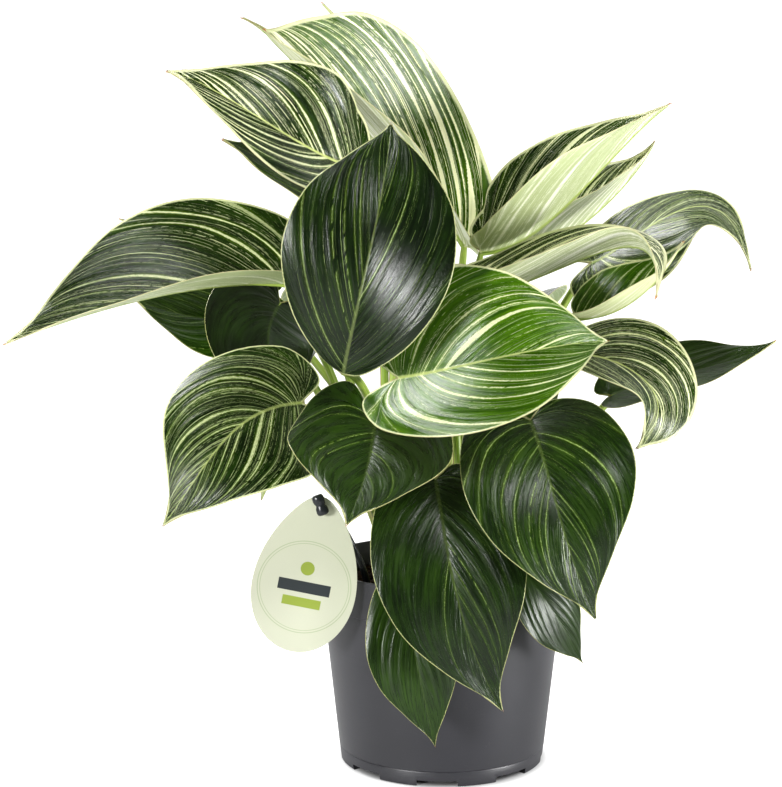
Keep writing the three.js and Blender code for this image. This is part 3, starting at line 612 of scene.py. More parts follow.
LEAVES = [
    dict(
        name="leaf_top", crown=2, attach=150, lean=0.2,
        spine=[(15, 38, 310), (-32, 26, 366), (-77, -16, 409), (-102, -56, 434)],
        face=[(0.63, -0.54, 0.55)],
        half=(54, 60), fold=(45, 50), curl=(0, -8), lobe=0.05, belly=0.26,
        young=0.85, bold=0.95, fine=0.7, cream=1.0,
    ),
    dict(
        name="leaf_upper_left", crown=0, attach=150, lean=0.2,
        spine=[(-50, -50, 357), (-83, -72, 372), (-120, -82, 395), (-154, -78, 410)],
        face=[(0.29, -0.8, 0.51)],
        half=(36, 46), fold=20, lobe=0.08, belly=0.05,
        young=0.2, bold=0.64, fine=0.5, cream=1.0,
    ),
    dict(
        name="leaf_front_upright", crown=0, attach=136, come=(-0.3, -0.95, 0.1),
        spine=[(-57, -100, 246), (-47, -116, 292), (-37, -112, 338), (-31, -86, 382)],
        face=[(0, -0.9, 0.35)],
        half=47, fold=([8, 12], [30, 10]), curl=([-12, -12], [-20, -14]), lobe=-0.06, belly=0.22,
        young=0.08, bold=0.14, fine=0.3, cream=0.5,
    ),
    dict(
        name="leaf_left_arch", crown=0, attach=140, turn=200,
        spine=[(-87, -15, 290), (-132, -35, 290), (-184, -60, 281), (-245, -85, 261)],
        face=[(0, -0.53, 0.85)],
        half=(48, 53), fold=42, lobe=0.08, belly=0.08,
        young=0.2, bold=0.45, fine=0.6, cream=0.92,
    ),
    dict(
        name="leaf_left_round", crown=0, attach=125,
        spine=[(-82, -52, 224), (-114, -72, 215), (-136, -84, 191), (-159, -82, 158)],
        face=[(-0.15, -0.85, 0.5), (-0.25, -0.9, 0.35)],
        half=(50, 49), fold=(8, 0), curl=(-15, -10), lobe=0.14, belly=0.05,
        young=0.15, bold=0.4, fine=0.66, cream=0.75,
    ),
    dict(
        name="leaf_front_heart", crown=0, attach=118, lean=0.7,
        spine=[(-40, -88, 218), (-43, -112, 200), (-48, -136, 186), (-54, -159, 174)],
        face=[(0, -0.6, 0.8), (0, -0.75, 0.6)],
        half=(45, 46), fold=12, curl=-12, lobe=0.3,
        young=0.22, bold=0.06, fine=0.14, cream=0.22,
    ),
    dict(
        name="leaf_front_bright", crown=1, attach=140, come=(0.2, -0.95, 0.25),
        spine=[(-27, -84, 242), (8, -103, 251), (48, -107, 260), (89, -87, 263)],
        face=[(-0.1, -0.9, 0.42)],
        half=(54, 48), fold=24, curl=-5, lobe=0.14, belly=0.1,
        young=1.0, bold=0.48, fine=0.48, cream=0.86,
    ),
    dict(
        name="leaf_right_heart", crown=1, attach=122, lean=0.6,
        spine=[(47, -72, 217), (56, -98, 187), (67, -106, 149), (83, -98, 108)],
        face=[(0.05, -0.93, 0.35), (0.1, -0.98, 0.1)],
        half=(49, 48), fold=10, curl=-12, lobe=0.07, belly=0.04,
        young=0.18, bold=0.12, fine=0.2, cream=0.3,
    ),
    dict(
        name="leaf_low_pointed", crown=1, attach=114, lean=0.7,
        spine=[(-6, -76, 184), (0, -96, 148), (11, -103, 103), (32, -95, 55)],
        face=[(0, -0.93, 0.36), (0, -1, 0)],
        half=43, fold=10, curl=-12, lobe=0.05, belly=0.08,
        young=0.14, bold=0.06, fine=0.1, cream=0.3,
    ),
    dict(
        name="leaf_low_plain", crown=0, attach=110, lean=0.9,
        spine=[(-21, -80, 130), (-19, -90, 98), (-13, -94, 66), (-6, -90, 33)],
        face=[(-0.1, -0.98, 0.2)],
        half=(24, 27), fold=8, curl=-8, lobe=0.05, belly=0.15,
        young=0.3, bold=0.0, fine=0.05, cream=0.15,
    ),
    dict(
        name="leaf_low_right", crown=1, attach=112, lean=0.9,
        spine=[(37, -70, 137), (56, -75, 115), (70, -68, 92), (80, -58, 73)],
        face=[(0.25, -0.9, 0.3)],
        half=(17, 20), fold=8, curl=-8, lobe=0.05, belly=0.15,
        young=0.2, bold=0.0, fine=0.05, cream=0.0,
    ),
    dict(
        name="leaf_right_drooping", crown=3, attach=122, turn=-44,
        spine=[(69, -20, 248), (99, -45, 246), (119, -61, 228), (107, -70, 200)],
        face=[(-0.1, -0.6, 0.8), (0.4, -0.7, 0.5), (0.7, -0.7, 0.1)],
        half=(38, 29), fold=(8, 20), lobe=0.1, belly=0.2,
        young=0.25, bold=0.6, fine=0.75, cream=0.95,
    ),
    dict(
        name="leaf_upper_right", crown=3, attach=150, lean=0.1,
        spine=[(23, 8, 308), (61, 5, 325), (98, 0, 362), (133, -5, 395)],
        face=[(-0.56, -0.37, 0.72)],
        half=(42, 46), fold=58, lobe=0.05, belly=0.1,
        young=0.3, bold=0.65, fine=0.7, cream=0.95,
    ),
    dict(
        name="leaf_behind_upper_right", crown=3, attach=142, turn=78, lean=0.2,
        spine=[(46, 72, 300), (84, 74, 318), (115, 70, 346), (133, 60, 374)],
        face=[(-0.6, -0.3, 0.75)],
        half=(50, 46), fold=45, lobe=0.08,
        young=0.3, bold=0.8, fine=0.8, cream=0.85,
    ),
    dict(
        name="leaf_right_arch_near", crown=1, attach=150, lean=0.1,
        spine=[(3, -18, 289), (51, -27, 294), (101, -44, 313), (116, -76, 285)],
        face=[(0, -0.19, 0.98), (0.1, -0.2, 0.95), (0.9, -0.35, 0.3)],
        half=(34, 38), fold=28, lobe=0.05, belly=0.1,
        young=0.35, bold=0.85, fine=0.75, cream=1.0,
    ),
    dict(
        name="leaf_right_arch_far", crown=3, attach=138, turn=30,
        spine=[(91, 25, 300), (122, 20, 320), (158, 15, 334), (184, 5, 296)],
        face=[(-0.1, -0.35, 0.93), (0.1, -0.3, 0.95), (0.8, -0.4, 0.3)],
        half=(30, 36), fold=(10, [-20, -15, 0]), curl=(0, [-50, -10, 0]), lobe=0.12,
        young=0.2, bold=0.5, fine=0.66, cream=0.8,
    ),
    dict(
        name="leaf_young_curled", crown=3, attach=148, turn=-50, lean=0.15, come=(0.5, -0.8, 0.2),
        spine=[(76, -30, 272), (96, -42, 276), (117, -46, 291), (136, -40, 316)],
        face=[(-0.5, -0.45, 0.72)],
        half=24, fold=50, lobe=0.04, belly=0.1,
        young=1.0, bold=0.4, fine=0.4, cream=0.8,
    ),
    dict(
        name="leaf_far_right", crown=3, attach=114, turn=0,
        spine=[(103, 15, 220), (136, 10, 232), (167, 0, 241), (197, -10, 256)],
        face=[(0, -0.55, 0.83)],
        half=(25, 22), fold=12, lobe=0.08, belly=0.1,
        young=0.35, bold=0.0, fine=0.1, cream=0.1,
    ),
    dict(
        name="leaf_between", crown=1, attach=132, turn=-20, lean=0.2,
        spine=[(37, -36, 198), (46, -44, 214), (57, -46, 226), (70, -40, 238)],
        face=[(0, -0.95, 0.3)],
        half=(20, 16), fold=8,
        young=0.6, bold=0.0, fine=0.1, cream=0.1,
    ),
    dict(
        name="leaf_left_behind", crown=0, attach=114, turn=135, lean=0.6,
        spine=[(-106, 32, 262), (-134, 24, 265), (-160, 14, 270), (-186, 4, 281)],
        face=[(0, -0.8, 0.6)],
        half=30, fold=10, curl=-10, belly=0.1,
        young=0.45, bold=0.1, fine=0.25, cream=0.25,
    ),
    dict(
        name="leaf_left_inner", crown=0, attach=126, turn=172, lean=0.5,
        spine=[(-98, 18, 276), (-104, -4, 258), (-98, -18, 239), (-80, -24, 215)],
        face=[(0.2, -0.93, 0.3)],
        half=(46, 40), fold=8, curl=-10,
        young=0.05, bold=0.02, fine=0.05, cream=0.1,
    ),
    dict(
        name="leaf_under_upper_left", crown=0, attach=148, turn=150, lean=0.2,
        spine=[(-58, -5, 330), (-81, -15, 347), (-106, -22, 362), (-128, -28, 374)],
        face=[(-0.1, -0.6, 0.8)],
        half=(20, 26), fold=12, belly=0.1,
        young=0.2, bold=0.2, fine=0.4, cream=0.4,
    ),
    dict(
        name="leaf_behind_left_arch", crown=2, attach=130,
        spine=[(-117, 62, 283), (-144, 58, 300), (-171, 52, 315), (-199, 46, 326)],
        face=[(-0.1, -0.6, 0.8)],
        half=24, fold=12,
        young=0.2, bold=0.1, fine=0.3, cream=0.3,
    ),
    dict(
        ROLLED_LEAF, name="leaf_rolled_left", crown=2, attach=156, turn=170, lean=0.1,
        spine=[(-32, 52, 362), (-68, 40, 395), (-94, 24, 426), (-120, 14, 446)],
        face=[(0.5, -0.5, 0.7)],
        half=16,
    ),
    dict(
        ROLLED_LEAF, name="leaf_rolled_top", crown=2, attach=152, turn=95, lean=0.1,
        spine=[(-7, 64, 344), (-25, 60, 386), (-50, 50, 428), (-73, 32, 456)],
        face=[(0.5, -0.5, 0.7)],
        half=14,
    ),
    dict(
        BACK_LEAF, name="leaf_back_centre", crown=2, attach=136, turn=55,
        spine=[(30, 80, 246), (42, 108, 268), (54, 145, 260), (60, 180, 226)],
        face=[(0, 0.3, 0.95), (0.2, 0.8, 0.5)],
        half=45,
    ),
    dict(
        BACK_LEAF, name="leaf_back_left", crown=2, attach=140, turn=140,
        spine=[(-34, 54, 262), (-58, 94, 274), (-80, 132, 254), (-96, 160, 214)],
        face=[(-0.2, 0.3, 0.95), (-0.4, 0.8, 0.5)],
        half=45,
    ),
    dict(
        BACK_LEAF, name="leaf_back_right_low", crown=3, attach=112, turn=62,
        spine=[(62, 52, 182), (82, 72, 192), (100, 95, 178), (108, 112, 150)],
        face=[(0.2, 0.2, 0.95), (0.6, 0.4, 0.6)],
        half=36,
    ),
    dict(
        BACK_LEAF, name="leaf_back_left_low", crown=2, attach=116, turn=165,
        spine=[(-55, 56, 178), (-80, 80, 184), (-101, 100, 170), (-118, 118, 136)],
        face=[(-0.2, 0.2, 0.95), (-0.6, 0.4, 0.6)],
        half=42,
    ),
    dict(
        BACK_LEAF, name="leaf_back_low", crown=2, attach=118, turn=95,
        spine=[(5, 75, 180), (5, 108, 185), (5, 140, 160), (5, 160, 120)],
        face=[(0, 0.3, 0.95), (0, 0.9, 0.3)],
        half=40,
    ),
]


def along(value, place):
    """A plain value, or a list of values read at places from 0 to 1."""
    values = np.atleast_1d(np.array(value, float))
    if len(values) == 1:
        return np.full(np.shape(place), values[0])
    return np.interp(place, np.linspace(0, 1, len(values)), values)


def spread_curve(points, place):
    """Catmull-Rom curve through the points, at places from 0 to 1."""
    points = np.array(points, float)
    last = len(points) - 1
    every = np.vstack([2 * points[0] - points[1], points, 2 * points[-1] - points[-2]])
    scaled = np.asarray(place) * last
    index = np.minimum(scaled.astype(int), last - 1)
    f = (scaled - index)[:, None]
    a, b, c, d = (every[index + k] for k in range(4))
    return 0.5 * (
        2 * b + (c - a) * f + (2 * a - 5 * b + 4 * c - d) * f ** 2 + (3 * b - a - 3 * c + d) * f ** 3
    )


def cubic(points, place):
    """Cubic curve through four points, and its direction, at places from 0 to 1."""
    p0, p1, p2, p3 = np.array(points, float)
    c1 = (-5 * p0 + 18 * p1 - 9 * p2 + 2 * p3) / 6
    c2 = (2 * p0 - 9 * p1 + 18 * p2 - 5 * p3) / 6
    t = np.asarray(place, float)[:, None]
    s = 1 - t
    point = s ** 3 * p0 + 3 * s * s * t * c1 + 3 * s * t * t * c2 + t ** 3 * p3
    slope = s * s * (c1 - p0) + 2 * s * t * (c2 - c1) + t * t * (p3 - c2)
    return point, unit(slope)


def vein_root(margin):
    """Where the vein that ends at this place on the margin leaves the midrib, as a share of the
    leaf's length. Most veins start near the stalk, and sweep forward to the tip."""
    beyond = np.clip(margin - VEIN_START, 0, 1) / (1 - VEIN_START)
    return 0.985 * (0.6 * beyond ** 2.6 + 0.4 * beyond ** 12)


class Leaf:
    """One leaf's shape: laid out flat, then bent along its midrib and across its width."""

    def __init__(self, values):
        self.__dict__.update(LEAF_DEFAULTS, **values)
        for name in ("half", "fold", "curl"):
            value = getattr(self, name)
            setattr(self, name, value if isinstance(value, tuple) else (value, value))
        steps = np.linspace(0, 1, 81)
        path, _ = cubic(self.spine, steps)
        gone = np.linalg.norm(np.diff(path, axis=0), axis=1)
        self.steps = steps
        self.gone = np.concatenate([[0], np.cumsum(gone)])
        self.length = self.gone[-1]

    def frame(self, distance):
        """Point, direction, upper normal and side at distances along the midrib."""
        distance = np.asarray(distance, float)
        inside = np.clip(distance, 0, self.length)
        point, tangent = cubic(self.spine, np.interp(inside, self.gone, self.steps))
        point = point + tangent * (distance - inside)[:, None]
        faces = unit(np.array(self.face, float))
        last = len(faces) - 1
        scaled = inside / self.length * last
        index = np.minimum(scaled.astype(int), max(last - 1, 0))
        share = (scaled - index)[:, None]
        face = faces[index] * (1 - share) + faces[np.minimum(index + 1, last)] * share
        normal = unit(face - tangent * (face * tangent).sum(axis=1, keepdims=True))
        return point, tangent, normal, np.cross(tangent, normal)

    def outline(self, margin):
        """Flat half outline, in half widths and lengths, at places from 0 (notch) to 1 (tip)."""
        points = [
            (across, (length * self.lobe if length < 0 else length) + self.belly * share)
            for (across, length), share in zip(HALF_OUTLINE, BELLY_SHARE)
        ]
        flat = spread_curve(points, margin)
        flat[:, 0] = np.maximum(flat[:, 0], 0)
        return flat

    def girth(self):
        """Length of the margin of the wider half, as a share of a large leaf's."""
        flat = self.outline(np.linspace(0, 1, 60)) * [max(self.half), self.length]
        return np.linalg.norm(np.diff(flat, axis=0), axis=1).sum() / LARGE_MARGIN

    def vein(self, side, margin, share):
        """Flat places, in millimetres, at a share of the way out along the vein to the margin."""
        out = self.outline(margin)
        start = vein_root(margin)
        root = np.stack([np.zeros_like(start), start], axis=1)
        knee = self.outline(np.clip(margin - KNEE_BEHIND * np.sqrt(1 - start), 0, 1)) * [0.92, 1]
        t = share[:, None]
        flat = (1 - t) ** 2 * root + 2 * (1 - t) * t * knee + t * t * out
        return flat[:, 0] * self.half[side], flat[:, 1] * self.length

    def bend(self, side, across, length):
        """Flat places bent into the leaf's shape, with the midrib's normal there."""
        point, tangent, normal, beside = self.frame(length)
        place = np.clip(length / self.length, 0, 1)
        fold = np.radians(along(self.fold[side], place))
        turn = np.radians(along(self.curl[side], place)) / max(self.half)
        turn = np.where(np.abs(turn) < 1e-6, 1e-6, turn)
        end = fold + turn * across
        out = (np.sin(end) - np.sin(fold)) / turn * (1 if side else -1)
        up = (np.cos(fold) - np.cos(end)) / turn
        return point + out[:, None] * beside + up[:, None] * normal, normal

    def stalk(self, count):
        """Path of the stalk from its crown to the blade, and on under the midrib as a rib."""
        x, y = CROWNS[self.crown]["at"]
        point, tangent, normal, _ = self.frame([0.0])
        base = (point - normal * STALK_TOP_RADIUS * 0.8)[0]
        angle = math.radians(self.turn or 0)
        if self.turn is None:
            angle = math.atan2(base[1] - y, base[0] - x)
        out = np.array([math.cos(angle), math.sin(angle), 0])
        foot = np.array([x, y, self.attach]) + out * (STEM_RADIUS + 2)
        reach = np.linalg.norm(base - foot)
        rise = unit(out * self.lean + UP)
        come = unit(np.array(self.come or tangent[0] * 0.5 + out * 0.5 + UP * 0.8))
        t = np.linspace(0, 1, count)[:, None]
        s = 1 - t
        path = (
            s ** 3 * foot
            + 3 * s * s * t * (foot + rise * reach * 0.38)
            + 3 * s * t * t * (base - come * reach * 0.35)
            + t ** 3 * base
        )
        under, _, normal, _ = self.frame(RIB_SHARES * self.length)
        rib = under - normal * (STALK_TOP_RADIUS * 0.8 * (1 - 3.5 * RIB_SHARES))[:, None]
        return np.concatenate([path, rib])


def edge_distance(flat, outline):
    """Distance in millimetres from flat places to a line through the outline's points."""
    start, end = outline[:-1], outline[1:]
    step = end - start
    size = np.maximum((step ** 2).sum(axis=1), 1e-9)
    off = flat[:, None, :] - start
    share = np.clip((off * step).sum(axis=2) / size, 0, 1)
    return np.linalg.norm(off - share[..., None] * step, axis=2).min(axis=1)


def blade_sheet(leaf, side, rows, columns, number):
    """Upper and lower points of one half of a blade, with what its material reads."""
    order = np.repeat(np.linspace(0, 1, rows + 1), columns + 1)
    every = np.linspace(0, 1, 2001)
    margin = np.interp(order, 0.5 * every + 0.5 * vein_root(every) / vein_root(1), every)
    steps = np.append(np.linspace(0, 1, columns) ** 1.2 * 0.985, 1)
    share = np.tile(steps, rows + 1)
    across, length = leaf.vein(side, margin, share)
    point, middle_normal = leaf.bend(side, across, length)
    outward = leaf.bend(side, across + 0.5, length)[0] - point
    forward = leaf.bend(side, across, length + 0.5)[0] - point
    normal = unit(np.cross(forward, outward))
    normal *= np.sign((normal * middle_normal).sum(axis=1, keepdims=True))
    inner = (share == 0) | (across < 1e-6)
    normal[inner] = middle_normal[inner]
    place = np.clip(length / leaf.length, 0, 1)
    steeper = np.maximum(along(leaf.fold[0], place), along(leaf.fold[1], place))
    fold = np.radians(np.clip(steeper, 0, 60))

    phase = number * 1.7 + side * 2.1
    ripple = 0.14 * np.sin(2 * np.pi * 13 * margin + phase) * np.sin(np.pi * np.clip(share, 0, 1))
    swell = SWELL_HEIGHT * share * np.sin(5 * margin + 2.2 * share + phase) * np.sin(3.1 * share + phase)
    wave = WAVE_HEIGHT * share ** 3 * np.sin(2 * np.pi * WAVE_COUNT * margin + phase)
    wave *= np.clip(1 - margin ** 6, 0, 1)
    groove = 0.4 * np.exp(-(across / 1.1) ** 2) * (1 - place)
    rib = 1.5 * (1 - place) ** 0.8 + 0.1
    ridge = rib * np.exp(-(across / (0.9 * rib + 0.3)) ** 2)
    lift = ripple + swell + wave
    half = HALF_THICKNESS * (1 - 0.55 * share ** 8)
    half = np.where(inner, half / np.cos(fold), half)
    upper = point + normal * (lift + half - groove)[:, None]
    lower = point + normal * (lift - half - ridge)[:, None]
    outline = leaf.outline(np.linspace(0, 1, 120)) * [leaf.half[side], leaf.length]
    edge = edge_distance(np.stack([across, length], axis=1), outline)
    facts = np.stack([edge, across, place], axis=1)
    uv = np.stack([order + 3 * side, share], axis=1)
    return upper, lower, facts, uv


def leaf_mesh(leaf, number):
    """The whole leaf: upper and lower sheets of both halves, their rim, and the stalk."""
    rows, columns = LARGE_GRID if max(leaf.half) > LARGE_HALF_WIDTH else SMALL_GRID
    points, facts, faces, uvs, looks = [], [], [], [], []
    sheet = (rows + 1) * (columns + 1)
    i, j = np.meshgrid(np.arange(rows), np.arange(columns), indexing="ij")
    first = (i * (columns + 1) + j).ravel()
    grid = np.stack([first, first + columns + 1, first + columns + 2, first + 1], axis=1)
    last = np.arange(rows) * (columns + 1) + columns
    rim = np.stack([last, last + columns + 1, last + columns + 1 + sheet, last + sheet], axis=1)
    for side in (0, 1):
        upper, lower, fact, uv = blade_sheet(leaf, side, rows, columns, number)
        points += [upper, lower]
        facts += [fact, fact]
        both = np.concatenate([uv, uv])
        for look, part in zip((0, 1, 0), (grid, (grid + sheet)[:, ::-1], rim)):
            part = part[:, ::-1] if side else part
            faces.append(part + 2 * side * sheet)
            uvs.append(both[part])
            looks.append(np.full(len(part), look))
    stalk = leaf.stalk(STALK_STEPS)
    share = np.linspace(0, 1, len(stalk))
    radii = STALK_TOP_RADIUS + (STALK_FOOT_RADIUS - STALK_TOP_RADIUS) * (1 - share) ** 1.5
    radii[-5] = STALK_TOP_RADIUS * 0.92
    radii[-4:] = STALK_TOP_RADIUS * 0.76 * (1 - 3.5 * RIB_SHARES)
    stalk_points, stalk_faces = tube(stalk, radii, STALK_SIDES)
    points.append(stalk_points)
    facts.append(np.zeros((len(stalk_points), 3)))
    faces.append(stalk_faces + 4 * sheet)
    uvs.append(tube_uv(len(stalk) + 2, STALK_SIDES))
    looks.append(np.full(len(stalk_faces), 2))
    points, facts, faces, uvs, looks = map(np.concatenate, (points, facts, faces, uvs, looks))
    mesh, kept = build_mesh(leaf.name, points, faces, uvs, looks)
    return mesh, facts[kept]


def add_values(mesh, name, values):
    """Gives every point of a mesh a number that its materials read by name."""
    made = mesh.attributes.new(name, "FLOAT", "POINT")
    made.data.foreach_set("value", np.broadcast_to(values, len(mesh.vertices)).astype(np.float32))


upper_face = Finish("leaf_upper_face", specular_ior_level=0.46)
under_face = Finish("leaf_underside", roughness=0.5, specular_ior_level=0.35)
stalk_skin = Finish("leaf_stalk", roughness=0.38)

# Strips of each kind of streak along the margin of one half of a large leaf.
WIDE_STRIPS = 17
THIN_STRIPS = 62
HAIR_STRIPS = 118


def streaks(finish, soften):
    """Masks of the cream streaks, which run out along the veins from the midrib to the margin:
    wide ones, thin ones between them, and a faint grain. Each keeps to its own strip of the
    half, swells and thins along its length, and may stop early or break up."""
    margin, share = finish.layout("veins")
    lot, bold, fine, girth = finish.attributes("lot", "bold", "fine", "girth")
    fleck = finish.noise(finish.place(), 1.3, 2, 0.6) - 0.5
    slow = finish.noise(finish.vector(margin * 9, share * 2.2, lot), 1, 1) - 0.5
    quick = finish.noise(finish.vector(margin * 44, share * 9, lot), 1, 1) - 0.5
    place = (margin + slow * 0.02 + quick * 0.005) * girth

    def line_set(strips, amount, thinnest, widest, broken, offset):
        """One streak in each strip, in the share of the strips that amount says."""
        where = place * strips + lot * 0.37
        strip = where.math("FLOOR")
        at = finish.vector(strip, lot, offset)
        drawn = finish.node("ShaderNodeTexWhiteNoise", {"noise_dimensions": "3D"}, {0: at}, "Color")
        one, two, three = (
            finish.node("ShaderNodeSeparateColor", {}, {0: drawn}, k) for k in range(3)
        )
        long = finish.vector(strip * 1.37 + offset, share * 2.6, lot)
        swell = finish.noise(long, 1, 1).rise(0.3, 0.7)
        ends = (share - three * 1.3).fall(0.3, 0.7)
        half = (thinnest + widest * two * two) * (0.4 + swell) * (0.35 + 0.65 * ends)
        off = abs(where - strip - 0.5 + (one - 0.5) * 0.5 + fleck * 0.2)
        gaps = finish.noise(finish.vector(strip * 1.37 + offset, share * 24, lot), 1, 1)
        whole = (gaps - broken * (1 - 0.6 * two)).rise(0.0, 0.07)
        there = (amount - three.math("FRACT") * 0.98).rise(0.0, 0.03) * whole
        beyond = off - half
        soft = strips * 0.0006 * soften
        return beyond.fall(-soft, soft) * there, beyond.fall(0.0, 0.2) * there

    shown = bold.rise(0, 0.1) * 0.3 + bold * 0.7
    widest = 0.014 + bold * bold * 0.4
    wide, halo = line_set(WIDE_STRIPS, shown, 0.012 + bold * 0.04, widest, 0.38, 3)
    thin, _ = line_set(THIN_STRIPS, fine * fine * 1.6, 0.05, 0.02 + fine * 0.14, 0.6, 17)
    hair, _ = line_set(HAIR_STRIPS, fine * fine * 1.3, 0.06, fine * 0.18, 0.66, 41)
    return margin, share, lot, wide, halo, thin, hair, fleck


FACE_FACTS = ("young", "cream", "edge", "rib", "reach")
young, cream, edge, rib, reach = upper_face.attributes(*FACE_FACTS)
bold, girth = upper_face.attributes("bold", "girth")
margin, share, lot, wide, halo, thin, hair, fleck = streaks(upper_face, 1.0)
spot = upper_face.place()
clouds = upper_face.noise(spot, 0.05, 2)
mottle = upper_face.noise(upper_face.vector(margin * 60, share * 4, lot + 9), 1, 3, 0.6)
old_green = upper_face.mix(mottle.rise(0.3, 0.75), paint(8, 18, 5), paint(18, 35, 9))
new_green = upper_face.mix(mottle.rise(0.3, 0.7), paint(42, 74, 4), paint(74, 112, 10))
green = upper_face.mix(young + (clouds - 0.5) * 0.35, old_green, new_green)
old_line = paint(116, 146, 50)
new_line = paint(252, 253, 210)
paleness = cream * cream * (0.5 + bold * 0.5) + wide * 0.1
line_colour = upper_face.mix(paleness, old_line, new_line)
lines = wide.at_least(thin * (0.45 + cream * 0.45)).at_least(hair * (0.15 + cream * 0.35))
tone = upper_face.mix(halo * cream * 0.5, green, paint(112, 142, 28))
tone = upper_face.mix(lines, tone, line_colour)
rib_half = 1.7 - reach * 1.5
rib_mask = (rib + fleck * 1.2).fall(rib_half * 0.3, rib_half) * (0.08 + cream * cream * 0.85)
rib_colour = upper_face.mix(cream, paint(100, 130, 58), paint(206, 216, 140))
tone = upper_face.mix(rib_mask, tone, rib_colour)
margin_half = 0.25 + cream * 0.45 + bold * bold * 1.6
margin_mask = (edge + fleck * 0.9).fall(margin_half * 0.7, margin_half * 1.35)
margin_colour = upper_face.mix(cream, paint(150, 166, 96), paint(226, 230, 182))
tone = upper_face.mix(margin_mask * 0.9, tone, margin_colour)
tone = upper_face.mix(edge.fall(0.1, 0.3) * 0.5, tone, paint(176, 150, 116))
tone = upper_face.mix(reach.rise(0.982, 0.996), tone, paint(176, 112, 58))
upper_face.set("Base Color", tone)
cells = upper_face.noise(spot, 1.5, 2, 0.6)
brushed = upper_face.noise(upper_face.vector(margin * 190, share * 14, lot), 1, 2)
quilt = upper_face.noise(upper_face.vector(margin * 26, share * 2.5, lot), 1, 1)
pleat = upper_face.noise(upper_face.vector(margin * 75, share * 5, lot), 1, 1)
upper_face.set("Roughness", 0.24 - cream * 0.12 + lines * 0.05 + mottle * 0.13)
relief = cells * 0.11 + brushed * 0.06 + quilt * 0.4 + pleat * 0.24
upper_face.bump(relief * girth - lines * 0.05, 1)

young, cream, edge, rib, reach = under_face.attributes(*FACE_FACTS)
margin, share, lot, wide, halo, thin, _, _ = streaks(under_face, 2.5)
mottle = under_face.noise(under_face.vector(margin * 60, share * 4, lot + 9), 1, 3, 0.6)
old_green = under_face.mix(mottle, paint(112, 138, 90), paint(142, 164, 112))
new_green = under_face.mix(mottle, paint(198, 206, 152), paint(224, 228, 186))
green = under_face.mix(young * 0.5 + cream * 0.5, old_green, new_green)
lines = wide.at_least(thin * 0.7).at_least(halo * 0.5)
tone = under_face.mix(lines * (0.35 + cream * 0.6), green, paint(252, 253, 236))
rib_half = 2.2 - reach * 1.7
tone = under_face.mix(rib.fall(rib_half * 0.5, rib_half), tone, paint(168, 184, 104))
tone = under_face.mix(edge.fall(0.5, 1.3) * (0.3 + cream * 0.6), tone, paint(218, 220, 172))
under_face.set("Base Color", tone)
brushed = under_face.noise(under_face.vector(margin * 120, share * 9, lot), 1, 2)
under_face.bump(brushed + lines * 0.4, 0.2)

round_it, up_it = stalk_skin.layout("veins")
lot, = stalk_skin.attributes("lot")
lengthwise = stalk_skin.noise(stalk_skin.vector(round_it * 14, up_it * 2.5, lot), 1, 2)
tone = stalk_skin.mix(lengthwise.rise(0.3, 0.7), paint(118, 144, 52), paint(168, 186, 96))
red_line = abs(round_it + (lengthwise - 0.5) * 0.1 - 0.3).fall(0.02, 0.06)
tone = stalk_skin.mix(red_line * up_it.fall(0.4, 0.95) * 0.8, tone, paint(122, 56, 40))
foot = up_it.fall(0.02, 0.22)
tone = stalk_skin.mix(foot * 0.7, tone, paint(150, 92, 58))
stalk_skin.set("Base Color", tone)
stalk_skin.bump(lengthwise, 0.15)

for number, values in enumerate(LEAVES):
    leaf = Leaf(values)
    mesh, facts = leaf_mesh(leaf, number)
    for name, column in (("edge", 0), ("rib", 1), ("reach", 2)):
        add_values(mesh, name, facts[:, column])
    for name in ("young", "bold", "fine", "cream"):
        add_values(mesh, name, getattr(leaf, name))
    add_values(mesh, "girth", leaf.girth())
    add_values(mesh, "lot", number * 7.3)
    finishes = [upper_face.material, under_face.material, stalk_skin.material]
    add_object("living_" + leaf.name, mesh, leaf.name, finishes)


# Hang tag
# A stiff egg-shaped card of coated board, off-white, with a punched hole near its top. Its print
# is plain: a thin double ring with a disc and two bars in it.

TAG_CENTRE = np.array([-81, -64, 118])
TAG_HOLE = np.array([-71, -64, 168])
TAG_HALF_WIDTH = 30
TAG_BELOW = 37
TAG_ABOVE = 55
TAG_THICKNESS = 1
TAG_HOLE_RADIUS = 2.6
EGG_NARROWING = 0.28
CARD_BEVEL = 0.12
LAYOUT_SIZE = 100
RING_HEIGHT = 1.5
RING_RADII = (26.8, 25.4)
DISC_ABOVE_RING = 11
DISC_RADIUS = 4
TAG_LEAN = math.atan2(TAG_HOLE[0] - TAG_CENTRE[0], TAG_HOLE[2] - TAG_CENTRE[2])


def closed_spline(curve, outline):
    """Adds a closed outline, given in millimetres, to a flat curve."""
    spline = curve.splines.new("POLY")
    spline.points.add(len(outline) - 1)
    for point, (x, y) in zip(spline.points, outline):
        point.co = (x * MM, y * MM, 0, 1)
    spline.use_cyclic_u = True


card = bpy.data.curves.new("tag_card", "CURVE")
card.dimensions = "2D"
card.fill_mode = "BOTH"
card.extrude = (TAG_THICKNESS / 2 - CARD_BEVEL) * MM
card.bevel_depth = CARD_BEVEL * MM
card.offset = -CARD_BEVEL * MM
egg = []
for i in range(120):
    angle = i / 120 * math.tau
    height = math.cos(angle)
    narrowing = 1 - EGG_NARROWING * height * height if height > 0 else 1
    reach = TAG_ABOVE if height > 0 else TAG_BELOW
    egg.append((TAG_HALF_WIDTH * math.sin(angle) * narrowing, height * reach))
closed_spline(card, egg)
hole_height = float(np.linalg.norm(TAG_HOLE - TAG_CENTRE))
hole = []
for i in range(32):
    angle = i / 32 * math.tau
    hole.append((TAG_HOLE_RADIUS * math.cos(angle), hole_height + TAG_HOLE_RADIUS * math.sin(angle)))
closed_spline(card, hole)
flat_tag = bpy.data.objects.new("tag_card", card)
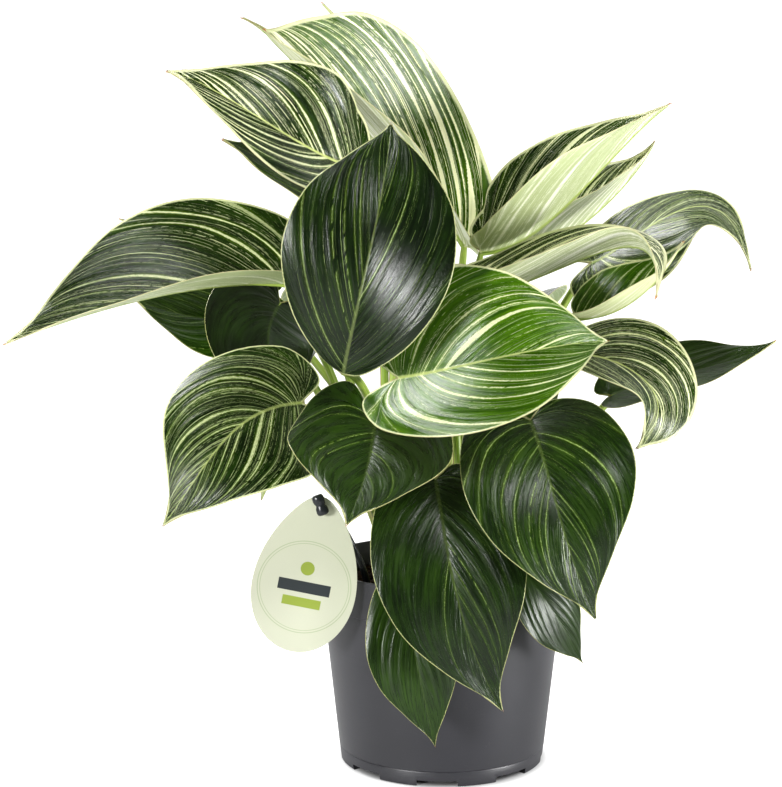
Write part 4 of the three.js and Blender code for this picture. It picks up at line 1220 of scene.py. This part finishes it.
bpy.context.scene.collection.objects.link(flat_tag)
ready = flat_tag.evaluated_get(bpy.context.evaluated_depsgraph_get())
tag_mesh = bpy.data.meshes.new_from_object(ready)
bpy.data.objects.remove(flat_tag)
count = len(tag_mesh.vertices)
flat = np.empty(count * 3, np.float32)
tag_mesh.vertices.foreach_get("co", flat)
flat = flat.reshape(-1, 3).astype(float) / MM
print_uv = tag_mesh.uv_layers.new(name="card")
corner = np.empty(len(tag_mesh.loops), np.int32)
tag_mesh.loops.foreach_get("vertex_index", corner)
print_uv.uv.foreach_set("vector", (flat[corner, :2] / LAYOUT_SIZE).astype(np.float32).ravel())
cos_lean, sin_lean = math.cos(TAG_LEAN), math.sin(TAG_LEAN)
x = flat[:, 0] * cos_lean + flat[:, 1] * sin_lean
z = -flat[:, 0] * sin_lean + flat[:, 1] * cos_lean
placed = np.stack([x, -flat[:, 2], z], axis=1) + TAG_CENTRE
tag_mesh.vertices.foreach_set("co", (placed * MM + POT_AXIS).astype(np.float32).ravel())
tag_mesh.update()

board = Finish("coated_board", roughness=0.5, specular_ior_level=0.4)
spot = board.place()
fibres = board.noise(spot, 3.0, 3)
across, up = (value * LAYOUT_SIZE for value in board.layout("card"))
tone = board.mix(fibres, paint(198, 201, 180), paint(206, 208, 188))
above = up - RING_HEIGHT
radius = (across * across + above * above).math("SQRT")
outer, inner = (abs(radius - size) for size in RING_RADII)
ring = outer.fall(0.15, 0.3).at_least(inner.fall(0.1, 0.25))
tone = board.mix(ring * 0.8, tone, paint(164, 178, 138))
above = up - RING_HEIGHT - DISC_ABOVE_RING
disc = (across * across + above * above).math("SQRT").fall(DISC_RADIUS - 0.1, DISC_RADIUS + 0.1)
tone = board.mix(disc, tone, paint(150, 166, 70))
for half_width, middle, half_height, ink in (
    (15, 0, 3.2, paint(52, 58, 60)),
    (11, -9, 2.6, paint(150, 166, 70)),
):
    bar = abs(across).fall(half_width, half_width + 0.2)
    bar = bar * abs(up - RING_HEIGHT - middle).fall(half_height, half_height + 0.2)
    tone = board.mix(bar, tone, ink)
board.set("Base Color", tone)
board.bump(fibres, 0.02)
add_object("hang_card", tag_mesh, "hang_tag", [board.material])


# Tag stake
# One glossy black moulded pin. Its waisted head snaps through the hole in the card, and its rod
# bends down behind the card into the soil.

STAKE_RADIUS = 2
STAKE_SIDES = 20
HEAD_SIDES = 28
HEAD_TILT = -20
STAKE_PATH = [(-71, -59, 168), (-66, -57, 163), (-56, -54, 147), (-46, -46, 122), (-41, -41, 90)]
HEAD_PROFILE = [(0, -6), (2.4, -5.9), (3.3, -5.2), (3.6, -4), (3.3, -1.6), (2.6, -0.4), (2.6, 0.3),
                (3.2, 1.4), (3.5, 3), (3.3, 5), (2.6, 5.9), (0, 6)]

gloss = Finish("black_plastic", specular_ior_level=0.55)
spot = gloss.place()
smear = gloss.noise(spot, 0.6, 3)
gloss.set("Base Color", gloss.mix(smear, paint(34, 36, 40), paint(48, 50, 55)))
gloss.set("Roughness", 0.18 + smear * 0.14)
gloss.bump(gloss.noise(spot, 1.4, 2), 0.06)

route = spread_curve(STAKE_PATH, np.linspace(0, 1, 60))
rod_points, rod_faces = tube(route, np.full(60, STAKE_RADIUS), STAKE_SIDES)
neck_path = [TAG_HOLE + np.array([0, y, 0]) for y in np.linspace(-6, 6, 12)]
neck_points, neck_faces = tube(neck_path, np.full(12, STAKE_RADIUS), STAKE_SIDES)
head_points, head_faces = lathe(HEAD_PROFILE, HEAD_SIDES)
tilt = math.radians(HEAD_TILT)
head_points = np.stack([
    head_points[:, 0] * math.cos(tilt) + head_points[:, 2] * math.sin(tilt),
    head_points[:, 1] * 0.8 - 5,
    -head_points[:, 0] * math.sin(tilt) + head_points[:, 2] * math.cos(tilt),
], axis=1) + TAG_HOLE
stake_points = np.concatenate([rod_points, neck_points, head_points])
stake_faces = np.concatenate([
    rod_faces,
    neck_faces + len(rod_points),
    head_faces + len(rod_points) + len(neck_points),
])
stake_mesh, _ = build_mesh("stake", stake_points, stake_faces)
add_object("tag_pin", stake_mesh, "tag_stake", [gloss.material])


# Studio
# A white table and backdrop, and four softboxes round the plant. None of it is the object.

TABLE_RADIUS = 0.9
TABLE_SIDES = 96
SOFTBOX_AIM = (0, 0, 0.25)

floor_finish = Finish("white_table", roughness=0.6, specular_ior_level=0.1)
floor_finish.set("Base Color", (0.4, 0.4, 0.4, 1))
off_axis = floor_finish.node("ShaderNodeVectorMath", {"operation": "DISTANCE"}, {
    0: floor_finish.place(),
    1: tuple(POT_AXIS / MM),
}, "Value")
# The table glows, brighter to the camera than to the plant. Its glow fades out from 10 mm outside the
# pot's foot to 8 mm inside it: a painted shade ring round the foot, with no glow under the pot.
seen = floor_finish.node("ShaderNodeLightPath", {}, {}, "Is Camera Ray")
lit = off_axis.rise(FOOT_RADIUS - 8, FOOT_RADIUS + 10) * (seen * 0.6 + 0.4)
floor_finish.set("Emission Color", floor_finish.mix(lit, (0, 0, 0, 1), (0.95, 0.95, 0.95, 1)))
floor_finish.set("Emission Strength", 1.0)
floor_mesh = bpy.data.meshes.new("table")
angle = np.arange(TABLE_SIDES) / TABLE_SIDES * 2 * np.pi
below_pot = np.full(TABLE_SIDES, -0.0002)
rim = np.stack([TABLE_RADIUS * np.cos(angle), TABLE_RADIUS * np.sin(angle), below_pot], axis=1)
floor_mesh.from_pydata(rim.tolist(), [], [list(range(TABLE_SIDES))])
floor_mesh.materials.append(floor_finish.material)
floor = bpy.data.objects.new("table", floor_mesh)
bpy.context.scene.collection.objects.link(floor)


class Air(Finish):
    """The light that comes from all round, which is brighter from the backdrop and the table."""

    def __init__(self, name):
        self.world = bpy.data.worlds.new(name)
        self.world.use_nodes = True
        self.tree = self.world.node_tree
        self.shader = self.tree.nodes["Background"]


air = Air("studio")
bpy.context.scene.world = air.world
ray = air.node("ShaderNodeTexCoord", {}, {}, "Generated")
backdrop = air.part(ray, "Y").rise(-0.1, 0.6)
below = air.part(ray, "Z").fall(-0.4, 0.0)
round_about = (0.05 + backdrop * 1.1).at_least(below * 0.5)
seen = air.node("ShaderNodeLightPath", {}, {}, "Is Camera Ray")
air.set("Strength", round_about.at_least(seen * 1.05))
air.set("Color", (1, 1, 1, 1))


def softbox(name, place, size, power):
    """A lit panel, placed and sized in metres and aimed at the middle of the plant."""
    lamp = bpy.data.lights.new(name, "AREA")
    lamp.shape = "RECTANGLE"
    lamp.size, lamp.size_y = size
    lamp.energy = power
    holder = bpy.data.objects.new(name, lamp)
    bpy.context.scene.collection.objects.link(holder)
    holder.location = place
    toward = Vector(SOFTBOX_AIM) - holder.location
    holder.rotation_euler = toward.to_track_quat("-Z", "Y").to_euler()


softbox("softbox_left", (-0.94, -1.26, 0.38), (0.3, 0.3), 17)
softbox("softbox_front", (0.81, -1.11, 1.13), (0.35, 0.35), 8)
softbox("softbox_right", (1.4, -0.6, 0.12), (0.4, 0.4), 20)
softbox("softbox_top", (-0.85, 0.18, 1.58), (0.5, 0.7), 22)

CAMERA_PLACE = (-31, -1100, 360)
CAMERA_PITCH = 7.1
CAMERA_LENS = 84.6
lens = bpy.data.cameras.new("camera")
lens.lens = CAMERA_LENS
lens.sensor_width = 36
camera = bpy.data.objects.new("camera", lens)
bpy.context.scene.collection.objects.link(camera)
camera.location = np.array(CAMERA_PLACE) * MM + POT_AXIS
camera.rotation_euler = (math.radians(90 - CAMERA_PITCH), 0, 0)
bpy.context.scene.camera = camera
bpy.context.scene.view_settings.view_transform = "Standard"
bpy.context.scene.view_settings.look = "Medium High Contrast"
